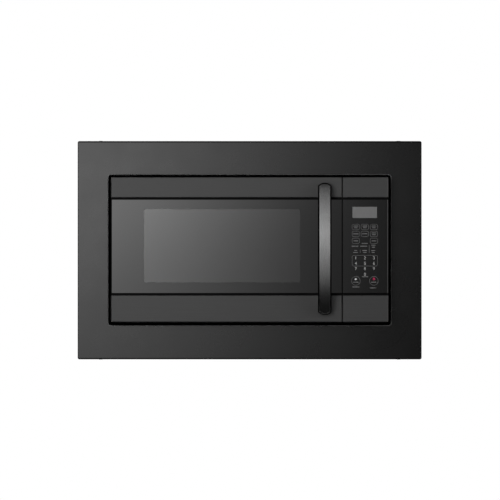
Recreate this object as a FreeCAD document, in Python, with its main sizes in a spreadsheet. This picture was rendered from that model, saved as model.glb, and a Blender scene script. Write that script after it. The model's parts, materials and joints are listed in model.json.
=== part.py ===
"""Built-in microwave oven in a wide trim frame, as a parametric assembly.

Millimetres. X runs to the right, the front faces -Y and Z is up. The origin is in the middle of the cabinet
opening: y = 0 is the cabinet's front face, just behind the trim frame, and z = 0 is the shelf.
"""

import FreeCAD
import Part
import Sketcher
import math
import os

SIZES = {
    # Oven face, seen from the front
    "face_width": 608.6,
    "panel_width": 99.8,
    "split_gap": 2.5,
    "glass_split_gap": 1.0,
    "top_strip_height": 44.0,
    "bottom_strip_height": 58.3,
    "glass_height": 206.0,
    "groove_height": 4.8,
    "face_corner_radius": 5.0,
    # Trim frame round the oven
    "trim_gap_side": 6.2,
    "trim_gap_top": 5.2,
    "trim_gap_bottom": 7.2,
    "trim_side_width": 67.5,
    "trim_top_width": 74.5,
    "trim_bottom_width": 75.0,
    "trim_depth": 12.0,
    "trim_sheet": 1.0,
    "trim_hem": 15.0,
    "trim_corner_radius": 4.0,
    "trim_opening_radius": 6.0,
    "trim_edge_radius": 1.2,
    "trim_bend_radius": 0.8,
    "trim_drop": 24.0,
    "baffle_depth": 23.0,
    "baffle_overlap": 1.0,
    # Side rails and screws that hold the frame
    "rail_sheet": 1.2,
    "rail_margin": 18.0,
    "rail_web_width": 42.0,
    "rail_web_gap": 1.0,
    "rail_flange_depth": 30.0,
    "rail_end_margin": 30.0,
    "rail_tab_width": 20.0,
    "rail_hole_radius": 2.25,
    "rail_hole_spacing": 300.0,
    "rail_hole_depth": 18.0,
    "trim_screw_inset": 50.7,
    "trim_screw_radius": 1.8,
    "trim_screw_clearance": 0.2,
    "trim_screw_length": 7.0,
    "trim_screw_head_radius": 4.0,
    "trim_screw_head_height": 0.45,
    # Base duct under the oven
    "duct_inset": 10.8,
    "duct_depth": 380.0,
    "duct_sheet": 1.0,
    "duct_front_flange": 14.0,
    "duct_window_margin": 70.0,
    "duct_window_bridge": 60.0,
    "foot_height": 12.2,
    "foot_radius": 15.0,
    "foot_taper": 3.0,
    "foot_margin_side": 44.0,
    "foot_margin_end": 60.0,
    # Case
    "case_inset": 3.0,
    "face_plate_overlap": 2.5,
    "case_depth": 402.0,
    "case_sheet": 0.8,
    "case_lip": 12.0,
    "case_bend_radius": 4.0,
    "base_sheet": 1.0,
    "base_flange": 12.0,
    "back_sheet": 1.0,
    "face_sheet": 1.0,
    "face_step": 3.0,
    "louvre_length": 34.0,
    "louvre_height": 3.0,
    "louvre_pitch": 9.0,
    "louvre_count": 12,
    "louvre_margin_back": 40.0,
    "louvre_margin_top": 60.0,
    "base_slot_length": 70.0,
    "base_slot_width": 4.0,
    "base_slot_pitch": 12.0,
    "base_slot_count": 8,
    "base_slot_margin": 60.0,
    "case_screw_radius": 1.9,
    "case_screw_length": 8.0,
    "case_screw_head_radius": 3.8,
    "case_screw_head_height": 2.0,
    "case_screw_clearance": 0.2,
    "case_flange": 12.0,
    "inlet_radius": 9.0,
    "inlet_bore_radius": 5.0,
    "inlet_flange_radius": 13.0,
    "inlet_flange_height": 3.0,
    "inlet_clearance": 0.2,
    "inlet_margin_side": 40.0,
    "inlet_margin_bottom": 24.0,
    # Oven cavity
    "cavity_gap_left": 40.0,
    "cavity_gap_right": 49.0,
    "cavity_gap_bottom": 45.0,
    "cavity_gap_top": 29.0,
    "cavity_depth": 384.0,
    "cavity_sheet": 0.8,
    "cavity_corner_radius": 8.0,
    "cavity_slot_length": 40.0,
    "cavity_slot_width": 3.0,
    "cavity_slot_pitch": 8.0,
    "cavity_slot_count": 5,
    "lamp_slot_margin_back": 60.0,
    "lamp_margin_top": 40.0,
    "port_width": 70.0,
    "port_height": 42.0,
    "port_centre_back": 215.0,
    "port_low_gap": 96.0,
    "port_cover_margin": 9.0,
    "port_cover_sheet": 0.6,
    "guide_depth": 38.0,
    "guide_height": 130.0,
    "guide_margin": 8.0,
    "guide_sheet": 1.2,
    "guide_flange": 8.0,
    # Cavity lamp and cut-out
    "lamp_holder_size": 34.0,
    "lamp_holder_depth": 24.0,
    "lamp_bore_radius": 12.0,
    "lamp_slot_margin": 4.8,
    "lamp_bore_depth": 21.0,
    "lamp_radius": 9.5,
    "lamp_tip_flat": 0.95,
    "lamp_length": 20.0,
    "cutout_radius": 8.5,
    "cutout_height": 9.0,
    "cutout_tab_length": 26.0,
    "cutout_tab_width": 10.0,
    "cutout_tab_sheet": 0.8,
    "cutout_margin_back": 110.0,
    # Magnetron
    "magnetron_width": 96.0,
    "magnetron_height": 80.0,
    "magnetron_length": 62.0,
    "magnetron_plate": 2.5,
    "magnetron_core_radius": 19.0,
    "magnetron_antenna_radius": 8.0,
    "magnetron_antenna_length": 26.0,
    "magnetron_antenna_clearance": 2.0,
    "magnetron_antenna_drop": 35.0,
    "magnetron_fin_margin": 6.0,
    "magnetron_fin_sheet": 0.8,
    "magnetron_fin_pitch": 7.0,
    "magnetron_fin_count": 6,
    "magnetron_fin_start": 12.0,
    "magnetron_box_depth": 24.0,
    "magnetron_box_margin": 12.0,
    # Transformer
    "core_width": 100.0,
    "core_height": 84.0,
    "core_stack": 62.0,
    "core_yoke": 17.0,
    "core_window_width": 17.0,
    "core_foot_margin": 11.0,
    "core_foot_sheet": 2.0,
    "core_centre_front": 150.0,
    "coil_clearance": 0.4,
    "coil_gap": 4.0,
    "coil_overhang": 15.0,
    "coil_corner_radius": 9.0,
    # Capacitor and diode
    "capacitor_width": 52.0,
    "capacitor_height": 33.0,
    "capacitor_side_flat": 3.3,
    "capacitor_length": 92.0,
    "capacitor_gap_back": 66.0,
    "capacitor_tab_width": 6.3,
    "capacitor_tab_sheet": 0.8,
    "capacitor_tab_length": 14.0,
    "capacitor_tab_spacing": 20.0,
    "diode_radius": 3.5,
    "diode_length": 22.0,
    "diode_lead_radius": 0.8,
    "diode_lead_length": 12.0,
    "diode_gap": 9.0,
    # Cooling fan
    "fan_size": 136.0,
    "fan_depth": 52.0,
    "fan_bore_radius": 58.0,
    "fan_axis_height": 155.0,
    "fan_bar_width": 18.0,
    "fan_bar_depth": 4.0,
    "fan_motor_width": 56.0,
    "fan_motor_drop": 40.0,
    "fan_motor_rise": 20.0,
    "fan_motor_depth": 24.0,
    "fan_motor_cap_radius": 11.0,
    "fan_motor_cap_depth": 4.0,
    "fan_bobbin_width": 32.0,
    "fan_bobbin_height": 22.0,
    "fan_shaft_radius": 3.0,
    "fan_shaft_clearance": 0.05,
    "fan_hub_radius": 14.0,
    "fan_hub_length": 16.0,
    "fan_hub_gap": 1.0,
    "fan_blade_radius": 54.0,
    "fan_blade_root": 12.0,
    "fan_blade_sheet": 2.0,
    "fan_blade_sweep": 16.0,
    "fan_blade_margin": 1.0,
    "fan_blade_count": 5,
    "grille_slot_width": 4.0,
    "grille_slot_pitch": 9.0,
    "grille_slot_count": 11,
    # Mains filter board on the back plate
    "filter_width": 76.0,
    "filter_height": 56.0,
    "filter_standoff": 8.0,
    "filter_standoff_radius": 3.0,
    "filter_gap_top": 2.0,
    "filter_choke_radius": 9.0,
    "filter_choke_spacing": 30.4,
    "filter_choke_length": 22.0,
    "board_sheet": 1.6,
    # Turntable
    "turntable_motor_radius": 24.5,
    "turntable_motor_height": 16.0,
    "turntable_ear_length": 64.0,
    "turntable_ear_width": 10.0,
    "turntable_ear_sheet": 1.2,
    "drive_shaft_radius": 3.5,
    "drive_shaft_depth": 12.0,
    "drive_shaft_rise": 9.0,
    "drive_shaft_flat": 1.0,
    "drive_hole_radius": 6.0,
    "coupler_radius": 12.0,
    "coupler_gap": 1.0,
    "coupler_arm_reach": 19.0,
    "coupler_arm_width": 8.0,
    "running_clearance": 0.05,
    "rolling_gap": 0.3,
    "roller_radius": 7.0,
    "roller_width": 8.0,
    "roller_track_radius": 105.0,
    "roller_axle_radius": 2.0,
    "roller_end_gap": 0.4,
    "roller_stop_radius": 3.2,
    "roller_stop_length": 1.5,
    "roller_count": 3,
    "ring_width": 8.0,
    "ring_height": 3.0,
    "tray_radius": 172.0,
    "tray_flat_radius": 148.0,
    "tray_glass": 5.5,
    "tray_rim_width": 3.85,
    "tray_rise": 12.0,
    "tray_nub_radius": 4.0,
    "tray_nub_height": 5.0,
    "tray_nub_reach": 20.0,
    # Depths of the door and the control side
    "door_gap": 1.5,
    "door_thickness": 36.0,
    "cover_depth": 5.0,
    "glass_sheet": 4.0,
    "strip_sheet": 1.0,
    "strip_edge_radius": 0.8,
    "strip_bend_radius": 2.4,
    "glass_side_radius": 2.6,
    "shell_depth": 26.5,
    "shell_wall": 2.5,
    "shell_web": 3.0,
    # Window of the door
    "window_inset_left": 72.3,
    "window_inset_right": 91.2,
    "window_inset_top": 20.8,
    "window_inset_bottom": 23.7,
    "window_radius": 3.0,
    "window_margin": 6.0,
    "screen_sheet": 0.6,
    "screen_margin": 8.0,
    # Inner door panel with its choke channel
    "inner_inset_left": 20.0,
    "inner_inset_right": 26.0,
    "inner_inset_end": 14.0,
    "inner_sheet": 1.0,
    "choke_width": 20.0,
    "choke_cover_sheet": 1.5,
    "choke_cover_margin": 2.0,
    "choke_rib_sheet": 2.0,
    "choke_rib_depth": 9.0,
    "inner_window_sheet": 1.0,
    "inner_window_margin": 12.0,
    "inner_window_clearance": 0.3,
    # Handle
    "handle_inset": 37.3,
    "handle_width": 29.5,
    "handle_inset_top": 12.3,
    "handle_inset_bottom": 15.9,
    "handle_reach": 42.0,
    "handle_bow": 27.0,
    "handle_thickness": 11.0,
    "handle_end_rise": 6.0,
    "handle_shoulder_radius": 5.0,
    "handle_bevel": 3.1,
    "handle_foot_width": 22.0,
    "handle_foot_height": 24.0,
    "handle_foot_inset": 5.0,
    "handle_screw_radius": 2.0,
    "handle_screw_clearance": 0.2,
    "handle_screw_depth": 8.0,
    "handle_screw_head_radius": 4.0,
    "handle_screw_head_height": 2.4,
    # Hinges
    "hinge_inset": 9.0,
    "hinge_setback": 12.0,
    "hinge_pin_radius": 3.0,
    "hinge_pin_length": 14.0,
    "hinge_plate_sheet": 3.0,
    "hinge_plate_inset": 2.0,
    "hinge_plate_half_width": 7.0,
    "hinge_plate_corner_radius": 5.0,
    "hinge_flange_sheet": 1.2,
    "hinge_flange_height": 26.0,
    "hinge_notch_front": 11.0,
    "hinge_notch_side": 9.5,
    "hinge_notch_height": 6.5,
    "hinge_lug_height": 16.0,
    "hinge_bush_wall": 2.0,
    "hinge_bush_gap": 0.3,
    "hinge_bush_clearance": 0.05,
    # Latch slider with its hooks, and the bracket that catches them
    "latch_inset": 20.0,
    "latch_sheet": 4.0,
    "latch_depth": 15.0,
    "latch_web_gap": 2.5,
    "latch_half_height": 100.0,
    "latch_hook_half_spacing": 82.0,
    "latch_arm_height": 10.0,
    "latch_barb_height": 3.5,
    "latch_barb_length": 10.0,
    "latch_reach": 23.0,
    "latch_travel": 4.0,
    "latch_side_clearance": 0.3,
    "latch_guide_sheet": 2.2,
    "latch_guide_depth": 12.0,
    "latch_guide_half_height": 55.0,
    "latch_slot_clearance": 3.0,
    "latch_stop_height": 4.0,
    "spring_radius": 3.4,
    "spring_wire_radius": 0.45,
    "spring_length": 30.0,
    "spring_turns": 8,
    "spring_gap": 0.3,
    "bracket_wall": 2.5,
    "bracket_half_width": 9.0,
    "bracket_depth": 34.0,
    "bracket_half_height": 108.0,
    "bracket_ledge_height": 10.0,
    "bracket_ledge_depth": 7.0,
    "bracket_ledge_setback": 2.0,
    "bracket_ledge_gap": 0.3,
    "switch_length": 28.0,
    "switch_height": 16.0,
    "switch_width": 10.3,
    "switch_tab_inset": 2.575,
    "switch_spacing": 60.0,
    "switch_count": 3,
    "switch_tab_length": 8.0,
    "switch_tab_sheet": 0.8,
    # Control side
    "display_width": 53.7,
    "display_height": 24.5,
    "display_inset_left": 21.2,
    "display_inset_top": 16.2,
    "display_clearance": 0.3,
    "foil_margin": 9.0,
    "foil_gap_display": 5.0,
    "foil_sheet": 0.5,
    "board_margin": 8.0,
    "board_gap": 7.5,
    "board_boss_radius": 3.5,
    "relay_width": 22.0,
    "relay_height": 28.0,
    "relay_depth": 16.0,
    "relay_inset": 14.0,
    "panel_window_margin": 14.0,
    "panel_window_end": 16.0,
}

FRONT = "XZ_Plane"
PLAN = "XY_Plane"
SIDE = "YZ_Plane"

document = FreeCAD.newDocument("built_in_microwave")
sheet = document.addObject("Spreadsheet::Sheet", "dims")
nodes = {}


class Size:
    """A number together with the spreadsheet expression that gives it."""

    def __init__(self, value, text):
        self.value = value
        self.text = text

    def __add__(self, other):
        other = as_size(other)
        return Size(self.value + other.value, f"({self.text} + {other.text})")

    def __sub__(self, other):
        other = as_size(other)
        return Size(self.value - other.value, f"({self.text} - {other.text})")

    def __mul__(self, other):
        other = as_size(other)
        return Size(self.value * other.value, f"({self.text} * {other.text})")

    def __truediv__(self, other):
        other = as_size(other)
        return Size(self.value / other.value, f"({self.text} / {other.text})")

    def __neg__(self):
        return Size(-self.value, f"(0 - {self.text})")


def as_size(number):
    """A plain number, such as a half or a zero, as a Size."""
    if isinstance(number, Size):
        return number
    return Size(float(number), f"{float(number):g}")


class Dims:
    """The driving sizes by name, as cells of the spreadsheet."""

    def __getattr__(self, name):
        return Size(SIZES[name], "dims." + name)


def fill_sheet():
    for row, (name, value) in enumerate(SIZES.items(), start=1):
        cell = f"A{row}"
        sheet.set(cell, str(value))
        sheet.setAlias(cell, name)
    document.recompute()


d = Dims()
fill_sheet()
ZERO = as_size(0)

# Places across the face
case_right = d.face_width / 2 - d.case_inset
case_left = -case_right
door_left = -(d.face_width / 2)
panel_right = d.face_width / 2
panel_left = panel_right - d.panel_width
door_right = panel_left - d.split_gap
opening_right = d.face_width / 2 + d.trim_gap_side
trim_right = opening_right + d.trim_side_width
trim_left = -trim_right

# Places up the face
trim_low = -d.trim_drop
opening_low = trim_low + d.trim_bottom_width
face_low = opening_low + d.trim_gap_bottom
bottom_strip_high = face_low + d.bottom_strip_height
glass_low = bottom_strip_high + d.groove_height
glass_high = glass_low + d.glass_height
top_strip_low = glass_high + d.groove_height
face_high = top_strip_low + d.top_strip_height
opening_high = face_high + d.trim_gap_top
trim_high = opening_high + d.trim_top_width
case_low = face_low + d.case_inset
case_high = face_high - d.case_inset
duct_high = case_low + d.case_sheet - d.foot_height
base_top = case_low + d.case_sheet + d.base_sheet

# Places from front to back
trim_front = -d.trim_depth
face_front = trim_front - d.face_step
face_back = face_front + d.face_sheet
case_back = face_back + d.case_depth
door_back = face_front - d.door_gap
door_front = door_back - d.door_thickness
shell_front = door_front + d.cover_depth
shell_back = shell_front + d.shell_depth
web_back = shell_front + d.shell_web
glass_front = shell_front - d.glass_sheet

# Oven cavity
cavity_left = case_left + d.cavity_gap_left
cavity_right = door_right - d.cavity_gap_right
cavity_low = case_low + d.cavity_gap_bottom
cavity_high = case_high - d.cavity_gap_top
cavity_back = face_back + d.cavity_depth
cavity_x = (cavity_left + cavity_right) / 2
cavity_y = (face_back + cavity_back) / 2
wall_right = cavity_right + d.cavity_sheet
bay_x = (wall_right + case_right - d.case_sheet) / 2

# Door window and hinge axis
window_left = door_left + d.window_inset_left
window_right = door_right - d.window_inset_right
window_low = glass_low + d.window_inset_bottom
window_high = glass_high - d.window_inset_top
hinge_x = door_left + d.hinge_inset
hinge_y = door_back - d.hinge_setback
latch_left = door_right - d.latch_inset
latch_right = latch_left + d.latch_sheet
face_middle = (face_low + face_high) / 2


def bind(target, path, size):
    """Ties one property of an object to the spreadsheet."""
    target.setExpression(path, as_size(size).text)


def new_body(label):
    body = document.addObject("PartDesign::Body", label)
    body.Label = label
    return body


def place(target, x=ZERO, y=ZERO, z=ZERO, rotation=None):
    """Puts an object's own origin at a place, turned if a rotation is given."""
    if rotation:
        target.Placement = FreeCAD.Placement(FreeCAD.Vector(), rotation)
    bind(target, "Placement.Base.x", x)
    bind(target, "Placement.Base.y", y)
    bind(target, "Placement.Base.z", z)


def keep(label, target):
    """Names an object as a finished piece of the assembly."""
    target.Label = label
    nodes[label] = target
    return target


def origin_feature(body, role):
    return next(feature for feature in body.Origin.OriginFeatures if feature.Role == role)


def sketch_on(body, plane, level):
    """An empty sketch on a plane of the body, moved to a level along that plane's axis."""
    sketch = body.newObject("Sketcher::SketchObject", body.Name + "_sketch")
    sketch.AttachmentSupport = [(origin_feature(body, plane), "")]
    sketch.MapMode = "FlatFace"
    bind(sketch, "AttachmentOffset.Base.z", -level if plane == FRONT else level)
    return sketch


def lock(sketch, kind, places, size):
    """Adds one dimension to a sketch and ties it to the spreadsheet."""
    index = sketch.addConstraint(Sketcher.Constraint(kind, *places, size.value))
    sketch.setExpression(f"Constraints[{index}]", size.text)


def lock_point(sketch, geometry, end, point):
    lock(sketch, "DistanceX", (-1, 1, geometry, end), as_size(point[0]))
    lock(sketch, "DistanceY", (-1, 1, geometry, end), as_size(point[1]))


def vector(point):
    return FreeCAD.Vector(as_size(point[0]).value, as_size(point[1]).value, 0)


def join(sketch, first, first_end, second, second_end):
    sketch.addConstraint(Sketcher.Constraint("Coincident", first, first_end, second, second_end))


def polygon(points):
    """A closed outline with straight sides."""

    def draw(sketch):
        first = sketch.GeometryCount
        for index, point in enumerate(points):
            following = points[(index + 1) % len(points)]
            sketch.addGeometry(Part.LineSegment(vector(point), vector(following)))
        for index, point in enumerate(points):
            join(sketch, first + index, 2, first + (index + 1) % len(points), 1)
            lock_point(sketch, first + index, 1, point)

    return draw


def circle(x, y, radius):
    def draw(sketch):
        up = FreeCAD.Vector(0, 0, 1)
        index = sketch.addGeometry(Part.Circle(vector((x, y)), up, radius.value))
        lock_point(sketch, index, 3, (x, y))
        lock(sketch, "Radius", (index,), radius)

    return draw


def rectangle(left, low, right, high, radius=None, corners="all"):
    """A rectangle, whose named corners are rounded if a radius is given."""
    if radius is None:
        return polygon([(left, low), (right, low), (right, high), (left, high)])
    places = [
        ("low_left", left, low, 1, 1, 180),
        ("low_right", right, low, -1, 1, 270),
        ("high_right", right, high, -1, -1, 0),
        ("high_left", left, high, 1, -1, 90),
    ]

    def draw(sketch):
        ends = [draw_corner(sketch, *spot, radius, corners) for spot in places]
        for index, (entry, leave) in enumerate(ends):
            following = ends[(index + 1) % len(ends)][0]
            line = sketch.addGeometry(Part.LineSegment(vector(leave[2]), vector(following[2])))
            for end, (owner, owner_end, point) in ((1, leave), (2, following)):
                if owner is None:
                    lock_point(sketch, line, end, point)
                else:
                    join(sketch, line, end, owner, owner_end)

    return draw


def draw_corner(sketch, name, x, y, inward_x, inward_y, start, radius, corners):
    """Draws one corner arc, and returns where the outline enters and leaves the corner."""
    if corners != "all" and name not in corners:
        return (None, 1, (x, y)), (None, 1, (x, y))
    centre = (x + radius * inward_x, y + radius * inward_y)
    whole = Part.Circle(vector(centre), FreeCAD.Vector(0, 0, 1), radius.value)
    arc = sketch.addGeometry(Part.ArcOfCircle(whole, math.radians(start), math.radians(start + 90)))
    lock_point(sketch, arc, 3, centre)
    lock(sketch, "Radius", (arc,), radius)
    upright_first = start in (0, 180)
    first = (x, centre[1]) if upright_first else (centre[0], y)
    last = (centre[0], y) if upright_first else (x, centre[1])
    lock(sketch, "DistanceY" if upright_first else "DistanceX", (-1, 1, arc, 1), first[upright_first])
    lock(sketch, "DistanceX" if upright_first else "DistanceY", (-1, 1, arc, 2), last[not upright_first])
    return (arc, 1, first), (arc, 2, last)


def add(body, plane, outlines, low, high):
    """Pads outlines from low to high along the plane's axis: Y for FRONT, Z for PLAN and X for SIDE."""
    sketch = sketch_on(body, plane, high if plane == FRONT else low)
    for draw in outlines:
        draw(sketch)
    feature = body.newObject("PartDesign::Pad", body.Name + "_pad")
    feature.Profile = sketch
    bind(feature, "Length", high - low)
    return feature


def cut(body, plane, outlines, low, high):
    """Pockets outlines from low to high along the plane's axis."""
    sketch = sketch_on(body, plane, low if plane == FRONT else high)
    for draw in outlines:
        draw(sketch)
    feature = body.newObject("PartDesign::Pocket", body.Name + "_pocket")
    feature.Profile = sketch
    bind(feature, "Length", high - low)
    return feature


def revolve(body, points):
    """Turns a half section, given as radius and height, about the body's own Z axis."""
    sketch = sketch_on(body, FRONT, ZERO)
    polygon(points)(sketch)
    feature = body.newObject("PartDesign::Revolution", body.Name + "_revolution")
    feature.Profile = sketch
    feature.ReferenceAxis = (sketch, ["V_Axis"])
    feature.Angle = 360
    return feature


def repeat(body, feature, axis, pitch, count):
    """Repeats a feature along an axis of its own sketch."""
    pattern = body.newObject("PartDesign::LinearPattern", body.Name + "_row")
    pattern.Originals = [feature]
    pattern.Direction = (feature.Profile[0], [axis])
    bind(pattern, "Length", pitch * (count - 1))
    bind(pattern, "Occurrences", count)
    body.Tip = pattern
    return pattern


def turn_round(body, feature, role, count):
    """Repeats a feature evenly about one of the body's own axes."""
    pattern = body.newObject("PartDesign::PolarPattern", body.Name + "_round")
    pattern.Originals = [feature]
    pattern.Axis = (origin_feature(body, role), [""])
    pattern.Angle = 360
    bind(pattern, "Occurrences", count)
    body.Tip = pattern
    return pattern


def chosen_edges(feature, choose):
    """A feature with the names of the edges that a test picks out."""
    document.recompute()
    names = [f"Edge{i}" for i, edge in enumerate(feature.Shape.Edges, start=1) if choose(edge)]
    return feature, names


def soften(body, feature, radius, choose):
    """Rounds the chosen edges of a feature."""
    fillet = body.newObject("PartDesign::Fillet", body.Name + "_fillet")
    fillet.Base = chosen_edges(feature, choose)
    bind(fillet, "Radius", radius)
    return fillet


def bevel(body, feature, size, choose):
    """Cuts the chosen edges of a feature back to flat bevels."""
    chamfer = body.newObject("PartDesign::Chamfer", body.Name + "_bevel")
    chamfer.Base = chosen_edges(feature, choose)
    bind(chamfer, "Size", size)
    return chamfer


def edge_at(edge, axis, size):
    """Whether a whole edge lies at one value of X, Y or Z."""
    box = edge.BoundBox
    low = getattr(box, axis + "Min")
    high = getattr(box, axis + "Max")
    return abs(low - size.value) < 1e-4 and abs(high - size.value) < 1e-4


def rod(label, axis, radius, x, y, z, length):
    """A round bar that runs along +X, +Y or +Z from a place."""
    turns = {
        "X": FreeCAD.Rotation(FreeCAD.Vector(0, 1, 0), 90),
        "Y": FreeCAD.Rotation(FreeCAD.Vector(1, 0, 0), -90),
    }
    bar = document.addObject("Part::Cylinder", label)
    bind(bar, "Radius", radius)
    bind(bar, "Height", length)
    place(bar, x, y, z, turns.get(axis))
    return bar


def fuse(label, shapes):
    whole = document.addObject("Part::MultiFuse", label)
    whole.Shapes = shapes
    whole.Refine = True
    return whole


def group(label, pieces):
    """Several separate solids of one kind, kept as one node."""
    compound = document.addObject("Part::Compound", label)
    compound.Links = pieces
    return keep(label, compound)


def mirror(label, source):
    """The twin of a piece on the other side of the middle plane."""
    twin = document.addObject("Part::Mirroring", label)
    twin.Source = source
    twin.Normal = FreeCAD.Vector(1, 0, 0)
    return twin


def opening_rectangle(margin):
    """The outline of the frame's opening, let out by a margin all round."""
    return rectangle(
        -opening_right - margin,
        opening_low - margin,
        opening_right + margin,
        opening_high + margin,
        d.trim_opening_radius + margin,
    )


def is_opening_edge(edge, margin, level):
    """Whether an edge lies at one depth and no further out than the opening let out by a margin."""
    box = edge.BoundBox
    reach = (opening_right + margin).value + 1e-3
    low = (opening_low - margin).value - 1e-3
    high = (opening_high + margin).value + 1e-3
    within = -reach < box.XMin and box.XMax < reach and low < box.ZMin and box.ZMax < high
    return within and edge_at(edge, "Y", level)


def make_trim_frame():
    body = new_body("trim_frame")
    wall = d.trim_sheet
    outer = rectangle(trim_left, trim_low, trim_right, trim_high, d.trim_corner_radius)
    block = add(body, FRONT, [outer], trim_front, ZERO)
    hollow = rectangle(
        trim_left + wall,
        trim_low + wall,
        trim_right - wall,
        trim_high - wall,
        d.trim_corner_radius - wall,
    )
    soften(body, block, d.trim_edge_radius, lambda edge: edge_at(edge, "Y", trim_front))
    cut(body, FRONT, [hollow], trim_front + wall, ZERO)
    opening = opening_rectangle(ZERO)
    cut(body, FRONT, [opening], trim_front, ZERO)
    lip = add(body, FRONT, [opening_rectangle(wall), opening], trim_front + wall / 2, ZERO)
    inside = trim_front + wall
    inner_bend = soften(body, lip, d.trim_bend_radius, lambda edge: is_opening_edge(edge, wall, inside))
    outer_radius = d.trim_bend_radius + wall
    soften(body, inner_bend, outer_radius, lambda edge: is_opening_edge(edge, ZERO, trim_front))
    hem_inner = rectangle(
        trim_left + d.trim_hem,
        trim_low + d.trim_hem,
        trim_right - d.trim_hem,
        trim_high - d.trim_hem,
    )
    add(body, FRONT, [outer, hem_inner], -wall, ZERO)
    hole = d.trim_screw_radius + d.trim_screw_clearance
    holes = [circle(x, trim_screw_y, hole) for x in (-trim_screw_x, trim_screw_x)]
    cut(body, PLAN, holes, trim_high - wall, trim_high)
    cut(body, PLAN, holes, trim_low, trim_low + wall)
    return keep("trim_frame", body)


def make_gap_baffle():
    """A black sheet ring behind the frame's lip that shuts off the view past the oven.

    Its flange ends behind the oven's face, so that air still passes between it and the case.
    """
    body = new_body("gap_baffle")
    wall = d.trim_sheet
    outer = opening_rectangle(wall)
    add(body, FRONT, [outer, opening_rectangle(ZERO)], ZERO, d.baffle_depth)
    inset = d.baffle_overlap
    inner = rectangle(door_left + inset, face_low + inset, panel_right - inset, face_high - inset)
    add(body, FRONT, [outer, inner], d.baffle_depth - wall, d.baffle_depth)
    keep("gap_baffle", body)


trim_screw_x = trim_right - d.trim_screw_inset
trim_screw_y = trim_front / 2
rail_outer = trim_right - d.rail_margin
rail_inner = rail_outer - d.rail_web_width
rail_front = trim_front + d.trim_sheet + d.rail_web_gap
rail_back = d.rail_flange_depth
rail_hole_middle = (trim_low + trim_high) / 2


def make_side_rails():
    """Two upright angles inside the frame, whose rear flanges are screwed to the cabinet's sides."""
    body = new_body("side_rail_left")
    low = trim_low + d.trim_sheet
    high = trim_high - d.trim_sheet
    angle = polygon(
        [
            (-rail_outer, rail_front),
            (-rail_inner, rail_front),
            (-rail_inner, rail_front + d.rail_sheet),
            (-rail_outer + d.rail_sheet, rail_front + d.rail_sheet),
            (-rail_outer + d.rail_sheet, rail_back),
            (-rail_outer, rail_back),
        ]
    )
    add(body, PLAN, [angle], low, high)
    ends = [
        rectangle(rail_front + d.rail_sheet, low, rail_back, low + d.rail_end_margin),
        rectangle(rail_front + d.rail_sheet, high - d.rail_end_margin, rail_back, high),
    ]
    cut(body, SIDE, ends, -rail_outer, -rail_outer + d.rail_sheet)
    tab = rectangle(-rail_inner - d.rail_tab_width, rail_front, -rail_inner, -d.trim_sheet)
    add(body, PLAN, [tab], low, low + d.rail_sheet)
    add(body, PLAN, [tab], high - d.rail_sheet, high)
    hole = [circle(-trim_screw_x, trim_screw_y, d.trim_screw_radius + d.trim_screw_clearance)]
    cut(body, PLAN, hole, low, low + d.rail_sheet)
    cut(body, PLAN, hole, high - d.rail_sheet, high)
    half = d.rail_hole_spacing / 2
    cabinet_holes = [
        circle(d.rail_hole_depth, rail_hole_middle - half, d.rail_hole_radius),
        circle(d.rail_hole_depth, rail_hole_middle + half, d.rail_hole_radius),
    ]
    cut(body, SIDE, cabinet_holes, -rail_outer, -rail_outer + d.rail_sheet)
    group("side_rails", [body, mirror("side_rail_right", body)])


def make_trim_screws():
    """Low round heads on the frame's top and bottom edges."""
    screws = []
    y = trim_screw_y
    height = d.trim_screw_head_height
    length = d.trim_screw_length
    spans = ((trim_high, trim_high - length), (trim_low - height, trim_low))
    for x in (-trim_screw_x, trim_screw_x):
        for head_z, shank_z in spans:
            head = rod("trim_screw_head", "Z", d.trim_screw_head_radius, x, y, head_z, height)
            shank = rod("trim_screw_shank", "Z", d.trim_screw_radius, x, y, shank_z, length)
            screws.append(fuse("trim_screw", [head, shank]))
    group("trim_screws", screws)


def is_duct_bend(edge):
    """Whether an edge is the corner of the duct's front flange, which lies in the bend of the frame's lip."""
    return edge_at(edge, "Y", trim_front + d.trim_sheet) and edge_at(edge, "Z", duct_high)


def make_base_duct():
    """A flat sheet tube that lifts the oven to the frame's opening and lets air pass below it."""
    body = new_body("base_duct")
    half = d.face_width / 2 - d.duct_inset
    wall = d.duct_sheet
    outer = rectangle(-half, ZERO, half, duct_high)
    inner = rectangle(-half + wall, wall, half - wall, duct_high - wall)
    add(body, FRONT, [outer, inner], ZERO, d.duct_depth)
    tongue_front = trim_front + d.trim_sheet
    add(body, FRONT, [rectangle(-half, duct_high - wall, half, duct_high)], tongue_front, ZERO)
    flange = rectangle(-half, duct_high - d.duct_front_flange, half, duct_high)
    front = add(body, FRONT, [flange], tongue_front, tongue_front + wall)
    soften(body, front, d.trim_bend_radius + wall / 2, is_duct_bend)
    margin = d.duct_window_margin
    bridge = d.duct_window_bridge / 2
    windows = [
        rectangle(-half + margin, margin, -bridge, d.duct_depth - margin),
        rectangle(bridge, margin, half - margin, d.duct_depth - margin),
    ]
    cut(body, PLAN, windows, duct_high - wall, duct_high)
    keep("base_duct", body)


def make_feet():
    feet = []
    for x in (case_left + d.foot_margin_side, case_right - d.foot_margin_side):
        for y in (face_back + d.foot_margin_end, case_back - d.foot_margin_end):
            foot = document.addObject("Part::Cone", "foot")
            bind(foot, "Radius1", d.foot_radius - d.foot_taper)
            bind(foot, "Radius2", d.foot_radius)
            bind(foot, "Height", d.foot_height)
            place(foot, x, y, duct_high)
            feet.append(foot)
    group("feet", feet)


def is_case_bend(edge, inset):
    """Whether an edge runs along one of the wrapper's two upper bends, at an inset from its outside."""
    across = (case_left + inset, case_right - inset)
    return edge_at(edge, "Z", case_high - inset) and any(edge_at(edge, "X", x) for x in across)


def case_screw_places():
    edge = d.case_flange / 2
    return [
        (x, z)
        for x in (case_left + edge, ZERO, case_right - edge)
        for z in (case_low + d.case_sheet + edge, case_high - edge)
    ]


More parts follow.
